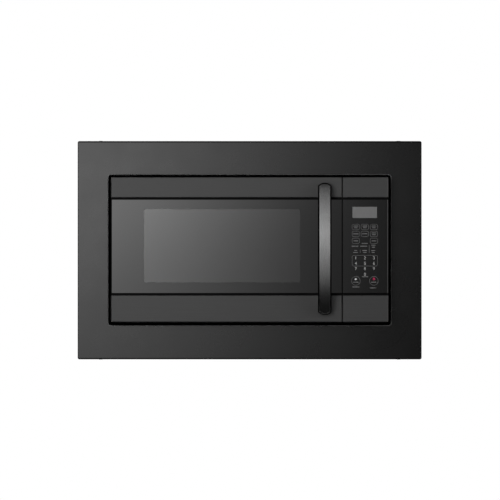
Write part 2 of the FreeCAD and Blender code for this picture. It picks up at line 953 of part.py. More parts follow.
def case_screw_holes():
    hole = d.case_screw_radius + d.case_screw_clearance
    return [circle(x, z, hole) for x, z in case_screw_places()]


def make_outer_case():
    """The wrapper: one sheet bent over the top and both sides, with lips under the base."""
    body = new_body("outer_case")
    wall = d.case_sheet
    section = polygon(
        [
            (case_left, case_low),
            (case_left + d.case_lip, case_low),
            (case_left + d.case_lip, case_low + wall),
            (case_left + wall, case_low + wall),
            (case_left + wall, case_high - wall),
            (case_right - wall, case_high - wall),
            (case_right - wall, case_low + wall),
            (case_right - d.case_lip, case_low + wall),
            (case_right - d.case_lip, case_low),
            (case_right, case_low),
            (case_right, case_high),
            (case_left, case_high),
        ]
    )
    wrapper = add(body, FRONT, [section], face_back, case_back)
    outer_bends = soften(body, wrapper, d.case_bend_radius, lambda edge: is_case_bend(edge, ZERO))
    soften(body, outer_bends, d.case_bend_radius - wall, lambda edge: is_case_bend(edge, wall))
    flange = d.case_flange
    flange_low = case_low + wall + d.base_flange
    flange_high = case_high - wall / 2
    rear = [
        rectangle(case_left + wall / 2, flange_low, case_left + flange, flange_high),
        rectangle(case_right - flange, flange_low, case_right - wall / 2, flange_high),
        rectangle(case_left + flange, case_high - flange, case_right - flange, flange_high),
    ]
    for plate in rear:
        add(body, FRONT, [plate], case_back - wall, case_back)
    cut(body, FRONT, case_screw_holes(), case_back - wall, case_back)
    slot_back = case_back - d.louvre_margin_back
    slot_high = case_high - d.louvre_margin_top
    slot = rectangle(slot_back - d.louvre_length, slot_high - d.louvre_height, slot_back, slot_high)
    louvre = cut(body, SIDE, [slot], case_left, case_right)
    row = repeat(body, louvre, "V_Axis", d.louvre_pitch, d.louvre_count)
    row.Reversed = True
    keep("outer_case", body)


def make_base_plate():
    body = new_body("base_plate")
    low = case_low + d.case_sheet
    left = case_left + d.case_sheet
    right = case_right - d.case_sheet
    wall = d.base_sheet
    add(body, PLAN, [rectangle(left, face_back, right, case_back)], low, low + d.base_flange)
    inside = rectangle(left + wall, face_back + wall, right - wall, case_back - wall)
    cut(body, PLAN, [inside], base_top, low + d.base_flange)
    slot_x = cavity_x - d.base_slot_length / 2
    slot_y = case_back - d.base_slot_margin
    slot = rectangle(slot_x, slot_y - d.base_slot_width, slot_x + d.base_slot_length, slot_y)
    cut(body, FRONT, case_screw_holes(), case_back - wall, case_back)
    vent = cut(body, PLAN, [slot], low, base_top)
    row = repeat(body, vent, "V_Axis", d.base_slot_pitch, d.base_slot_count)
    row.Reversed = True
    keep("base_plate", body)


fan_z = case_low + d.fan_axis_height
inlet_x = case_right - d.inlet_margin_side
inlet_z = case_low + d.inlet_margin_bottom


def make_back_plate():
    body = new_body("back_plate")
    low = case_back
    high = case_back + d.back_sheet
    add(body, FRONT, [rectangle(case_left, case_low, case_right, case_high)], low, high)
    cut(body, FRONT, [circle(inlet_x, inlet_z, d.inlet_radius)] + case_screw_holes(), low, high)
    first_x = bay_x - d.grille_slot_pitch * (d.grille_slot_count - 1) / 2
    half_width = d.grille_slot_width / 2
    slot_left = first_x - half_width
    slot_right = first_x + half_width
    half_bar = d.fan_bar_width / 2
    reach = d.fan_bore_radius - d.grille_slot_pitch
    slots = [
        rectangle(slot_left, fan_z + half_bar, slot_right, fan_z + reach),
        rectangle(slot_left, fan_z - reach, slot_right, fan_z - half_bar),
    ]
    grille = cut(body, FRONT, slots, low, high)
    repeat(body, grille, "H_Axis", d.grille_slot_pitch, d.grille_slot_count)
    keep("back_plate", body)


def make_case_screws():
    screws = []
    y = case_back + d.back_sheet
    for x, z in case_screw_places():
        head = rod("case_screw_head", "Y", d.case_screw_head_radius, x, y, z, d.case_screw_head_height)
        tip = y - d.case_screw_length
        shank = rod("case_screw_shank", "Y", d.case_screw_radius, x, tip, z, d.case_screw_length)
        screws.append(fuse("case_screw", [head, shank]))
    group("case_screws", screws)


def make_cord_bush():
    """The inlet bush of the mains lead, a flanged sleeve in the back plate."""
    body = new_body("cord_bush")
    back = case_back + d.back_sheet
    sleeve = d.inlet_radius - d.inlet_clearance
    add(body, FRONT, [circle(inlet_x, inlet_z, sleeve)], case_back, back)
    add(body, FRONT, [circle(inlet_x, inlet_z, d.inlet_flange_radius)], back, back + d.inlet_flange_height)
    cut(body, FRONT, [circle(inlet_x, inlet_z, d.inlet_bore_radius)], case_back, back + d.inlet_flange_height)
    keep("cord_bush", body)


def make_face_plate():
    body = new_body("face_plate")
    edge = d.face_plate_overlap
    outline = rectangle(case_left - edge, case_low - edge, case_right + edge, case_high + edge)
    add(body, FRONT, [outline], face_front, face_back)
    cavity_mouth = rectangle(cavity_left, cavity_low, cavity_right, cavity_high, d.cavity_corner_radius)
    bay_window = rectangle(
        panel_left + d.panel_window_margin,
        case_low + d.panel_window_end,
        case_right - d.panel_window_margin,
        case_high - d.panel_window_end,
    )
    cut(body, FRONT, [cavity_mouth, bay_window] + latch_slots(), face_front, face_back)
    keep("face_plate", body)


def latch_slots():
    """Slots that the two hooks pass through, with room for their lift."""
    room = d.latch_slot_clearance
    slots = []
    for middle in hook_heights():
        low = middle - d.latch_arm_height / 2 - d.latch_barb_height - room
        high = middle + d.latch_arm_height / 2 + d.latch_travel + room
        slots.append(rectangle(latch_left - room, low, latch_right + room, high))
    return slots


def hook_heights():
    return [face_middle - d.latch_hook_half_spacing, face_middle + d.latch_hook_half_spacing]


lamp_y = cavity_back - d.lamp_slot_margin_back
lamp_z = cavity_high - d.lamp_margin_top
port_y = cavity_back - d.port_centre_back
port_low = cavity_low + d.port_low_gap
port_high = port_low + d.port_height


def make_cavity():
    body = new_body("cavity")
    wall = d.cavity_sheet
    outer = rectangle(
        cavity_left - wall,
        cavity_low - wall,
        cavity_right + wall,
        cavity_high + wall,
        d.cavity_corner_radius + wall,
    )
    inner = rectangle(cavity_left, cavity_low, cavity_right, cavity_high, d.cavity_corner_radius)
    add(body, FRONT, [outer], face_back, cavity_back)
    cut(body, FRONT, [inner], face_back, cavity_back - wall)
    cut(body, PLAN, [circle(cavity_x, cavity_y, d.drive_hole_radius)], cavity_low - wall, cavity_low)
    half_port = d.port_width / 2
    port = rectangle(port_y - half_port, port_low, port_y + half_port, port_high)
    cut(body, SIDE, [port], cavity_right, wall_right)
    half_slot = d.cavity_slot_width / 2
    half_row = d.cavity_slot_pitch * (d.cavity_slot_count - 1) / 2
    lamp_half = d.lamp_bore_radius - d.lamp_slot_margin
    first_y = lamp_y - half_row
    lamp_slot = rectangle(first_y - half_slot, lamp_z - lamp_half, first_y + half_slot, lamp_z + lamp_half)
    slot = cut(body, SIDE, [lamp_slot], cavity_right, wall_right)
    repeat(body, slot, "H_Axis", d.cavity_slot_pitch, d.cavity_slot_count)
    vent_x = cavity_left + d.cavity_slot_length
    vent_y = cavity_back - d.cavity_slot_length - d.cavity_slot_pitch * d.cavity_slot_count
    vent_slot = rectangle(vent_x, vent_y, vent_x + d.cavity_slot_length, vent_y + d.cavity_slot_width)
    vent = cut(body, PLAN, [vent_slot], cavity_high, cavity_high + wall)
    repeat(body, vent, "V_Axis", d.cavity_slot_pitch, d.cavity_slot_count)
    keep("cavity", body)


guide_low = port_low - d.guide_margin
guide_high = guide_low + d.guide_height
guide_right = wall_right + d.guide_depth
antenna_z = guide_high - d.magnetron_antenna_drop
guide_half = d.port_width / 2 + d.guide_margin


def make_waveguide():
    body = new_body("waveguide")
    wall = d.guide_sheet
    left = port_y - guide_half
    right = port_y + guide_half
    add(body, SIDE, [rectangle(left, guide_low, right, guide_high)], wall_right, guide_right)
    rim = d.guide_flange
    flange = rectangle(left - rim, guide_low - rim, right + rim, guide_high + rim)
    add(body, SIDE, [flange], wall_right, wall_right + wall)
    inside = rectangle(left + wall, guide_low + wall, right - wall, guide_high - wall)
    cut(body, SIDE, [inside], wall_right, guide_right - wall)
    hole = d.magnetron_antenna_radius + d.magnetron_antenna_clearance
    cut(body, SIDE, [circle(port_y, antenna_z, hole)], guide_right - wall, guide_right)
    keep("waveguide", body)


def make_waveguide_cover():
    """The thin mica sheet over the microwave port, inside the cavity."""
    body = new_body("waveguide_cover")
    half = d.port_width / 2 + d.port_cover_margin
    low = port_low - d.port_cover_margin
    high = port_high + d.port_cover_margin
    outline = rectangle(port_y - half, low, port_y + half, high)
    add(body, SIDE, [outline], cavity_right - d.port_cover_sheet, cavity_right)
    keep("waveguide_cover", body)


def make_cavity_lamp():
    holder = new_body("lamp_holder")
    half = d.lamp_holder_size / 2
    outline = rectangle(lamp_y - half, lamp_z - half, lamp_y + half, lamp_z + half)
    bore_end = wall_right + d.lamp_bore_depth
    add(holder, SIDE, [outline], wall_right, wall_right + d.lamp_holder_depth)
    cut(holder, SIDE, [circle(lamp_y, lamp_z, d.lamp_bore_radius)], wall_right, bore_end)
    keep("lamp_holder", holder)
    lamp = new_body("cavity_lamp")
    glass = add(lamp, SIDE, [circle(lamp_y, lamp_z, d.lamp_radius)], bore_end - d.lamp_length, bore_end)
    tip = bore_end - d.lamp_length
    soften(lamp, glass, d.lamp_radius - d.lamp_tip_flat, lambda edge: edge_at(edge, "X", tip))
    keep("cavity_lamp", lamp)


def make_thermostat():
    """The bimetal cut-out on the cavity's roof."""
    body = new_body("cavity_thermostat")
    y = cavity_back - d.cutout_margin_back
    roof = cavity_high + d.cavity_sheet
    half_length = d.cutout_tab_length / 2
    half_width = d.cutout_tab_width / 2
    tab = rectangle(cavity_x - half_length, y - half_width, cavity_x + half_length, y + half_width)
    add(body, PLAN, [tab], roof, roof + d.cutout_tab_sheet)
    add(body, PLAN, [circle(cavity_x, y, d.cutout_radius)], roof, roof + d.cutout_height)
    keep("cavity_thermostat", body)


def make_magnetron():
    body = new_body("magnetron")
    start = guide_right
    end = start + d.magnetron_length
    half_y = d.magnetron_width / 2
    half_z = d.magnetron_height / 2
    plate = d.magnetron_plate
    frame = rectangle(port_y - half_y, antenna_z - half_z, port_y + half_y, antenna_z + half_z)
    add(body, SIDE, [frame], start, start + plate)
    add(body, SIDE, [circle(port_y, antenna_z, d.magnetron_core_radius)], start, end)
    antenna = circle(port_y, antenna_z, d.magnetron_antenna_radius)
    add(body, SIDE, [antenna], start - d.magnetron_antenna_length, start)
    fin_y = half_y - d.magnetron_fin_margin
    fin = rectangle(port_y - fin_y, antenna_z - half_z, port_y + fin_y, antenna_z + half_z)
    first = start + d.magnetron_fin_start
    blade = add(body, SIDE, [fin], first, first + d.magnetron_fin_sheet)
    repeat(body, blade, "N_Axis", d.magnetron_fin_pitch, d.magnetron_fin_count)
    yoke = [
        rectangle(port_y - fin_y, antenna_z + half_z - plate, port_y + fin_y, antenna_z + half_z),
        rectangle(port_y - fin_y, antenna_z - half_z, port_y + fin_y, antenna_z - half_z + plate),
    ]
    add(body, SIDE, yoke, start, end)
    cap = rectangle(port_y - fin_y, antenna_z - half_z, port_y + fin_y, antenna_z + half_z)
    add(body, SIDE, [cap], end - plate, end)
    inset = d.magnetron_box_margin
    box = rectangle(
        port_y - fin_y + inset,
        antenna_z - half_z + inset,
        port_y + fin_y - inset,
        antenna_z + half_z - inset,
    )
    add(body, SIDE, [box], end, end + d.magnetron_box_depth)
    keep("magnetron", body)


core_front = face_back + d.core_centre_front - d.core_stack / 2
core_end = core_front + d.core_stack
core_low = base_top + d.core_foot_sheet


def make_transformer():
    """A shell-type laminated core with two windings on its middle leg."""
    core = new_body("transformer_core")
    half = d.core_width / 2
    high = core_low + d.core_height
    window_low = core_low + d.core_yoke
    window_high = high - d.core_yoke
    leg = half - d.core_yoke - d.core_window_width
    outline = rectangle(bay_x - half, core_low, bay_x + half, high)
    windows = [
        rectangle(bay_x - leg - d.core_window_width, window_low, bay_x - leg, window_high),
        rectangle(bay_x + leg, window_low, bay_x + leg + d.core_window_width, window_high),
    ]
    add(core, FRONT, [outline] + windows, core_front, core_end)
    rim = d.core_foot_margin
    foot = rectangle(bay_x - half - rim, core_front - rim, bay_x + half + rim, core_end + rim)
    add(core, PLAN, [foot], base_top, core_low)
    keep("transformer_core", core)
    gap = d.coil_clearance
    coil_height = (window_high - window_low - d.coil_gap) / 2 - gap
    coils = []
    for name, low in (("coil_low", window_low + gap), ("coil_high", window_high - gap - coil_height)):
        coil = new_body(name)
        out_x = leg + d.core_window_width - gap
        outer = rectangle(
            bay_x - out_x,
            core_front - d.coil_overhang,
            bay_x + out_x,
            core_end + d.coil_overhang,
            d.coil_corner_radius,
        )
        inner = rectangle(bay_x - leg - gap, core_front - gap, bay_x + leg + gap, core_end + gap)
        add(coil, PLAN, [outer, inner], low, low + coil_height)
        coils.append(coil)
    group("transformer_windings", coils)


capacitor_back = case_back - d.capacitor_gap_back
capacitor_front = capacitor_back - d.capacitor_length


def make_capacitor():
    body = new_body("capacitor")
    half = d.capacitor_width / 2
    top = base_top + d.capacitor_height
    rounding = (d.capacitor_height - d.capacitor_side_flat) / 2
    can = rectangle(bay_x - half, base_top, bay_x + half, top, rounding)
    add(body, FRONT, [can], capacitor_front, capacitor_back)
    middle = base_top + d.capacitor_height / 2
    tab_half = d.capacitor_tab_width / 2
    sheet_half = d.capacitor_tab_sheet / 2
    tabs = []
    for side in (-1, 1):
        x = bay_x + d.capacitor_tab_spacing * side / 2
        tabs.append(rectangle(x - sheet_half, middle - tab_half, x + sheet_half, middle + tab_half))
    add(body, FRONT, tabs, capacitor_front - d.capacitor_tab_length, capacitor_front)
    keep("capacitor", body)


def make_diode():
    body = new_body("hv_diode")
    x = bay_x + d.capacitor_width / 2 + d.diode_gap
    z = base_top + d.diode_radius
    add(body, FRONT, [circle(x, z, d.diode_radius)], capacitor_front, capacitor_front + d.diode_length)
    lead_front = capacitor_front - d.diode_lead_length
    lead_back = capacitor_front + d.diode_length + d.diode_lead_length
    add(body, FRONT, [circle(x, z, d.diode_lead_radius)], lead_front, lead_back)
    keep("hv_diode", body)


fan_back = case_back - d.case_sheet
fan_front = fan_back - d.fan_depth
fan_bar_front = fan_back - d.fan_bar_depth
fan_motor_front = fan_bar_front - d.fan_motor_depth


def make_fan():
    shroud = new_body("fan_shroud")
    half = d.fan_size / 2
    outline = rectangle(bay_x - half, fan_z - half, bay_x + half, fan_z + half)
    add(shroud, FRONT, [outline, circle(bay_x, fan_z, d.fan_bore_radius)], fan_front, fan_back)
    bar_half = d.fan_bar_width / 2
    bar = rectangle(bay_x - d.fan_bore_radius, fan_z - bar_half, bay_x + d.fan_bore_radius, fan_z + bar_half)
    add(shroud, FRONT, [bar], fan_bar_front, fan_back)
    keep("fan_shroud", shroud)

    motor = new_body("fan_motor")
    cap = d.fan_motor_cap_depth
    stack = rectangle(
        bay_x - d.fan_motor_width / 2,
        fan_z - d.fan_motor_drop,
        bay_x + d.fan_motor_width / 2,
        fan_z + d.fan_motor_rise,
    )
    add(motor, FRONT, [stack], fan_motor_front + cap, fan_bar_front - cap)
    add(motor, FRONT, [circle(bay_x, fan_z, d.fan_motor_cap_radius)], fan_motor_front, fan_bar_front)
    bobbin_low = fan_z - d.fan_motor_drop
    bobbin_half = d.fan_bobbin_width / 2
    bobbin = rectangle(bay_x - bobbin_half, bobbin_low, bay_x + bobbin_half, bobbin_low + d.fan_bobbin_height)
    add(motor, FRONT, [bobbin], fan_motor_front, fan_bar_front)
    bore = d.fan_shaft_radius + d.fan_shaft_clearance
    cut(motor, FRONT, [circle(bay_x, fan_z, bore)], fan_motor_front, fan_bar_front - cap)
    keep("fan_motor", motor)

    rotor = new_body("fan_rotor")
    place(rotor, bay_x, ZERO, fan_z)
    hub_back = fan_motor_front - d.fan_hub_gap
    hub_front = hub_back - d.fan_hub_length
    shaft_back = fan_bar_front - cap - d.fan_hub_gap
    add(rotor, FRONT, [circle(ZERO, ZERO, d.fan_hub_radius)], hub_front, hub_back)
    add(rotor, FRONT, [circle(ZERO, ZERO, d.fan_shaft_radius)], hub_back, shaft_back)
    sweep = d.fan_blade_sweep / 2
    blade_front = hub_front + d.fan_blade_margin
    blade_back = hub_back - d.fan_blade_margin
    slant = polygon(
        [
            (-sweep, blade_front),
            (-sweep + d.fan_blade_sheet, blade_front),
            (sweep, blade_back),
            (sweep - d.fan_blade_sheet, blade_back),
        ]
    )
    blade = add(rotor, PLAN, [slant], d.fan_blade_root, d.fan_blade_radius)
    turn_round(rotor, blade, "Y_Axis", d.fan_blade_count)
    keep("fan_rotor", rotor)


def make_filter_board():
    body = new_body("filter_board")
    right = bay_x + d.filter_width / 2
    left = bay_x - d.filter_width / 2
    high = case_high - d.case_flange - d.filter_gap_top
    low = high - d.filter_height
    back = case_back - d.filter_standoff
    front = back - d.board_sheet
    add(body, FRONT, [rectangle(left, low, right, high)], front, back)
    inset = d.filter_standoff_radius * 2
    posts = [
        circle(x, z, d.filter_standoff_radius)
        for x in (left + inset, right - inset)
        for z in (low + inset, high - inset)
    ]
    add(body, FRONT, posts, back, case_back)
    middle = (low + high) / 2
    aside = d.filter_choke_spacing / 2
    chokes = [circle(x, middle, d.filter_choke_radius) for x in (bay_x - aside, bay_x + aside)]
    add(body, FRONT, chokes, front - d.filter_choke_length, front)
    keep("filter_board", body)


cavity_under = cavity_low - d.cavity_sheet
axle_z = cavity_low + d.rolling_gap + d.roller_radius
tray_low = axle_z + d.roller_radius + d.rolling_gap
shaft_top = cavity_low + d.drive_shaft_rise


def make_turntable_drive():
    motor = new_body("turntable_motor")
    low = cavity_under - d.turntable_motor_height
    add(motor, PLAN, [circle(cavity_x, cavity_y, d.turntable_motor_radius)], low, cavity_under)
    half_x = d.turntable_ear_length / 2
    half_y = d.turntable_ear_width / 2
    ears = rectangle(cavity_x - half_x, cavity_y - half_y, cavity_x + half_x, cavity_y + half_y)
    add(motor, PLAN, [ears], cavity_under - d.turntable_ear_sheet, cavity_under)
    bore = d.drive_shaft_radius + d.running_clearance
    shaft_low = cavity_under - d.drive_shaft_depth
    cut(motor, PLAN, [circle(cavity_x, cavity_y, bore)], shaft_low - d.rolling_gap, cavity_under)
    keep("turntable_motor", motor)

    shaft = new_body("motor_shaft")
    add(shaft, PLAN, [circle(cavity_x, cavity_y, d.drive_shaft_radius)], shaft_low, shaft_top)
    flat_x = cavity_x + d.drive_shaft_radius - d.drive_shaft_flat
    flat = rectangle(
        flat_x,
        cavity_y - d.drive_shaft_radius,
        flat_x + d.drive_shaft_flat,
        cavity_y + d.drive_shaft_radius,
    )
    cut(shaft, PLAN, [flat], cavity_low + d.coupler_gap, shaft_top)
    keep("motor_shaft", shaft)

    coupler = new_body("drive_coupler")
    place(coupler, cavity_x, cavity_y, ZERO)
    coupler_low = cavity_low + d.coupler_gap
    coupler_high = tray_low - d.rolling_gap
    add(coupler, PLAN, [circle(ZERO, ZERO, d.coupler_radius)], coupler_low, coupler_high)
    arm_half = d.coupler_arm_width / 2
    outline = rectangle(ZERO, -arm_half, d.coupler_arm_reach, arm_half)
    arm = add(coupler, PLAN, [outline], coupler_low, coupler_high)
    turn_round(coupler, arm, "Z_Axis", d.roller_count)
    cut(coupler, PLAN, [circle(ZERO, ZERO, bore)], coupler_low, shaft_top + d.rolling_gap)
    keep("drive_coupler", coupler)


def make_roller_ring():
    ring = new_body("roller_ring")
    place(ring, cavity_x, cavity_y, ZERO)
    wheel_in = d.roller_track_radius - d.roller_width / 2
    wheel_out = d.roller_track_radius + d.roller_width / 2
    ring_out = wheel_in - d.roller_end_gap
    ring_in = ring_out - d.ring_width
    half_height = d.ring_height / 2
    revolve(
        ring,
        [
            (ring_in, axle_z - half_height),
            (ring_out, axle_z - half_height),
            (ring_out, axle_z + half_height),
            (ring_in, axle_z + half_height),
        ],
    )
    stop_in = wheel_out + d.roller_end_gap
    axle = add(ring, SIDE, [circle(ZERO, axle_z, d.roller_axle_radius)], ring_in + d.ring_width / 2, stop_in)
    turn_round(ring, axle, "Z_Axis", d.roller_count)
    stop_out = stop_in + d.roller_stop_length
    stop = add(ring, SIDE, [circle(ZERO, axle_z, d.roller_stop_radius)], stop_in, stop_out)
    turn_round(ring, stop, "Z_Axis", d.roller_count)
    keep("roller_ring", ring)
    bore = d.roller_axle_radius + d.running_clearance
    count = SIZES["roller_count"]
    for index in range(count):
        roller = new_body(f"roller_{index + 1}")
        turn = FreeCAD.Rotation(FreeCAD.Vector(0, 0, 1), 360 * index / count)
        place(roller, cavity_x, cavity_y, ZERO, turn)
        rim = [circle(ZERO, axle_z, d.roller_radius), circle(ZERO, axle_z, bore)]
        add(roller, SIDE, rim, wheel_in, wheel_out)
        keep(f"roller_{index + 1}", roller)


def make_glass_tray():
    tray = new_body("glass_tray")
    place(tray, cavity_x, cavity_y, ZERO)
    glass = d.tray_glass
    rim_in = d.tray_radius - d.tray_rim_width
    revolve(
        tray,
        [
            (ZERO, tray_low),
            (d.tray_flat_radius, tray_low),
            (d.tray_radius, tray_low + d.tray_rise),
            (d.tray_radius, tray_low + d.tray_rise + glass),
            (rim_in, tray_low + d.tray_rise + glass),
            (d.tray_flat_radius - glass, tray_low + glass),
            (ZERO, tray_low + glass),
        ],
    )
    nub_x = d.tray_nub_reach * math.cos(math.pi / 3)
    nub_y = d.tray_nub_reach * math.sin(math.pi / 3)
    nub = add(tray, PLAN, [circle(nub_x, nub_y, d.tray_nub_radius)], tray_low - d.tray_nub_height, tray_low)
    turn_round(tray, nub, "Z_Axis", d.roller_count)
    keep("glass_tray", tray)


def make_strip(label, left, right, low, high, corner):
    """A shallow pressed pan with one rounded outer corner, bent round along its outer side and end."""
    body = new_body(label)
    wall = d.strip_sheet
    is_left = "left" in corner[0]
    is_high = "high" in corner[0]
    split = right if is_left else left
    groove = low if is_high else high
    outline = rectangle(left, low, right, high, d.face_corner_radius, corner)
    pan = add(body, FRONT, [outline], door_front, shell_front)
    bent = soften(body, pan, d.strip_bend_radius, lambda edge: is_bend(edge, door_front, split, groove))
    soften(body, bent, d.strip_edge_radius, lambda edge: is_inner_side(edge, door_front, split, groove))
    rounding = d.face_corner_radius - wall
    inside = rectangle(left + wall, low + wall, right - wall, high - wall, rounding, corner)
    floor = door_front + wall
    hollow = cut(body, FRONT, [inside], floor, shell_front)
    split_wall = right - wall if is_left else left + wall
    groove_wall = low + wall if is_high else high - wall
    bend = d.strip_bend_radius - wall
    soften(body, hollow, bend, lambda edge: is_bend(edge, floor, split_wall, groove_wall))
    return body


def is_inner_side(edge, level, split, groove):
    """Whether an edge at one depth runs along a strip's split or groove."""
    return edge_at(edge, "Y", level) and (edge_at(edge, "X", split) or edge_at(edge, "Z", groove))


def is_bend(edge, level, split, groove):
    """Whether an edge at one depth runs along a strip's outer side, corner or end."""
    return edge_at(edge, "Y", level) and not is_inner_side(edge, level, split, groove)


handle_x = door_right - d.handle_inset
handle_low = face_low + d.handle_inset_bottom
handle_high = face_high - d.handle_inset_top
foot_low_z = handle_low + d.handle_foot_inset
foot_high_z = handle_high - d.handle_foot_inset - d.handle_foot_height
handle_front = door_front - d.handle_reach
handle_middle = (handle_low + handle_high) / 2
handle_half = (handle_high - handle_low) / 2
handle_radius = (handle_half * handle_half + d.handle_bow * d.handle_bow) / (d.handle_bow * 2)
handle_centre_y = handle_front + handle_radius
screw_head_front = web_back - d.handle_screw_head_height - d.handle_screw_clearance


def foot_spans():
    return [
        (foot_low_z, foot_low_z + d.handle_foot_height),
        (foot_high_z, foot_high_z + d.handle_foot_height),
    ]


def make_strips():
    upper = (top_strip_low, face_high)
    lower = (face_low, bottom_strip_high)
    top = make_strip("door_top_strip", door_left, door_right, *upper, ["high_left"])
    bottom = make_strip("door_bottom_strip", door_left, door_right, *lower, ["low_left"])
    hole = d.handle_screw_radius + d.handle_screw_clearance
    for strip, (low, high) in ((bottom, foot_spans()[0]), (top, foot_spans()[1])):
        cut(strip, FRONT, [circle(handle_x, (low + high) / 2, hole)], door_front, door_front + d.strip_sheet)
    keep("door_top_strip", top)
    keep("door_bottom_strip", bottom)
    panel_top = make_strip("panel_top_strip", panel_left, panel_right, *upper, ["high_right"])
    panel_bottom = make_strip("panel_bottom_strip", panel_left, panel_right, *lower, ["low_right"])
    keep("panel_top_strip", panel_top)
    keep("panel_bottom_strip", panel_bottom)


def make_glasses():
    """Door and control glass, which nearly meet over the split and have rounder outer sides."""
    overhang = (d.split_gap - d.glass_split_gap) / 2
    radius = d.glass_side_radius
    spans = (
        ("door_glass", door_left, door_right + overhang, door_left, door_left + radius),
        ("panel_glass", panel_left - overhang, panel_right, panel_right, panel_right - radius),
    )
    for label, left, right, side, seam in spans:
        body = new_body(label)
        plate = add(body, FRONT, [rectangle(left, glass_low, right, glass_high)], glass_front, shell_front)
        rounded = soften(body, plate, radius, lambda edge: is_glass_edge(edge) and edge_at(edge, "X", side))
        soften(
            body,
            rounded,
            d.strip_edge_radius,
            lambda edge: is_glass_edge(edge) and not edge_at(edge, "X", seam),
        )
        keep(label, body)


def is_glass_edge(edge):
    return edge_at(edge, "Y", glass_front)


def lug_spans():
    """Heights of the lower and the upper hinge lug inside the door."""
    low = face_low + d.hinge_notch_height
    high = face_high - d.hinge_notch_height
    return [(low, low + d.hinge_lug_height), (high - d.hinge_lug_height, high)]


bush_radius = d.hinge_pin_radius + d.running_clearance + d.hinge_bush_wall


def make_door_shell():
    """The moulded door frame: a web behind the glass, side walls, lugs, bosses and latch guides."""
    body = new_body("door_shell")
    wall = d.shell_wall
    radius = d.face_corner_radius
    corners = ["low_left", "high_left"]
    outline = rectangle(door_left, face_low, door_right, face_high, radius, corners)
    add(body, FRONT, [outline], shell_front, shell_back)
    inside = rectangle(
        door_left + wall,
        face_low + wall,
        door_right - wall,
        face_high - wall,
        radius - wall,
        corners,
    )
    cut(body, FRONT, [inside], web_back, shell_back)
    window = rectangle(window_left, window_low, window_right, window_high, d.window_radius)
    cut(body, FRONT, [window], shell_front, web_back)
    notch_front = hinge_y - d.hinge_notch_front
    notch_right = hinge_x + d.hinge_notch_side
    notch = rectangle(door_left, notch_front, notch_right, shell_back)
    cut(body, PLAN, [notch], face_low, face_low + d.hinge_notch_height)
    cut(body, PLAN, [notch], face_high - d.hinge_notch_height, face_high)
    lug = rectangle(door_left + wall / 2, shell_front + d.shell_web / 2, notch_right, shell_back)
    bore = circle(hinge_x, hinge_y, bush_radius + d.hinge_bush_clearance)
    for low, high in lug_spans():
        add(body, PLAN, [lug], low, high)
        cut(body, PLAN, [bore], low, high)
    boss_half = d.handle_foot_width / 2
    bosses = [rectangle(handle_x - boss_half, low, handle_x + boss_half, high) for low, high in foot_spans()]
    add(body, FRONT, bosses, door_front + d.strip_sheet, shell_front + d.shell_web / 2)
    hole = d.handle_screw_radius + d.handle_screw_clearance
    holes = [circle(handle_x, (low + high) / 2, hole) for low, high in foot_spans()]
    cut(body, FRONT, holes, door_front + d.strip_sheet, web_back)
    head_room = d.handle_screw_head_radius + d.handle_screw_clearance
    sinks = [circle(handle_x, (low + high) / 2, head_room) for low, high in foot_spans()]
    cut(body, FRONT, sinks, screw_head_front, web_back)
    right_wall = rectangle(door_right - wall, face_low, door_right, face_high)
    add(body, FRONT, [right_wall], shell_back, inner_back)
    side = d.latch_side_clearance
    guides = [
        rectangle(
            latch_left - side - d.latch_guide_sheet,
            face_middle - d.latch_guide_half_height,
            latch_left - side,
            face_middle + d.latch_guide_half_height,
        ),
        rectangle(
            latch_right + side,
            face_middle - d.latch_guide_half_height,
            latch_right + side + d.latch_guide_sheet,
            face_middle + d.latch_guide_half_height,
        ),
    ]
    add(body, FRONT, guides, shell_front + d.shell_web / 2, web_back + d.latch_guide_depth)
    stop_half = d.latch_sheet / 2 + d.latch_guide_sheet
    slider_low = face_middle - d.latch_half_height
    stop_high = slider_low - d.spring_gap
    seat_low = spring_low + d.spring_length + d.spring_gap
    stops = [
        rectangle(spring_x - stop_half, stop_high - d.latch_stop_height, spring_x + stop_half, stop_high),
        rectangle(spring_x - stop_half, seat_low, spring_x + stop_half, seat_low + d.latch_stop_height),
    ]
    add(body, FRONT, stops, shell_front + d.shell_web / 2, slider_back)
    keep("door_shell", body)


inner_left = door_left + d.inner_inset_left
inner_right = door_right - d.inner_inset_right
inner_low = face_low + d.inner_inset_end
inner_high = face_high - d.inner_inset_end
inner_back = door_back - d.choke_cover_sheet
channel = d.inner_sheet + d.choke_width


def inset_rectangle(margin):
    """The inner panel's outline, drawn in by a margin all round."""
    return rectangle(inner_left + margin, inner_low + margin, inner_right - margin, inner_high - margin)


def window_rectangle(margin):
    """The window's outline, let out by a margin all round."""
    return rectangle(window_left - margin, window_low - margin, window_right + margin, window_high + margin)


def make_inner_panel():
    """Pressed steel door panel: a deep choke channel all round and a dished middle with the window."""
    body = new_body("door_inner_panel")
    sheet_size = d.inner_sheet
    add(body, FRONT, [inset_rectangle(ZERO)], web_back, inner_back)
    trough = [inset_rectangle(sheet_size), inset_rectangle(channel)]
    cut(body, FRONT, trough, web_back + sheet_size, inner_back)
    cut(body, FRONT, [inset_rectangle(channel + sheet_size)], web_back, inner_back - sheet_size)
    cut(body, FRONT, [window_rectangle(d.window_margin)], inner_back - sheet_size, inner_back)
    keep("door_inner_panel", body)


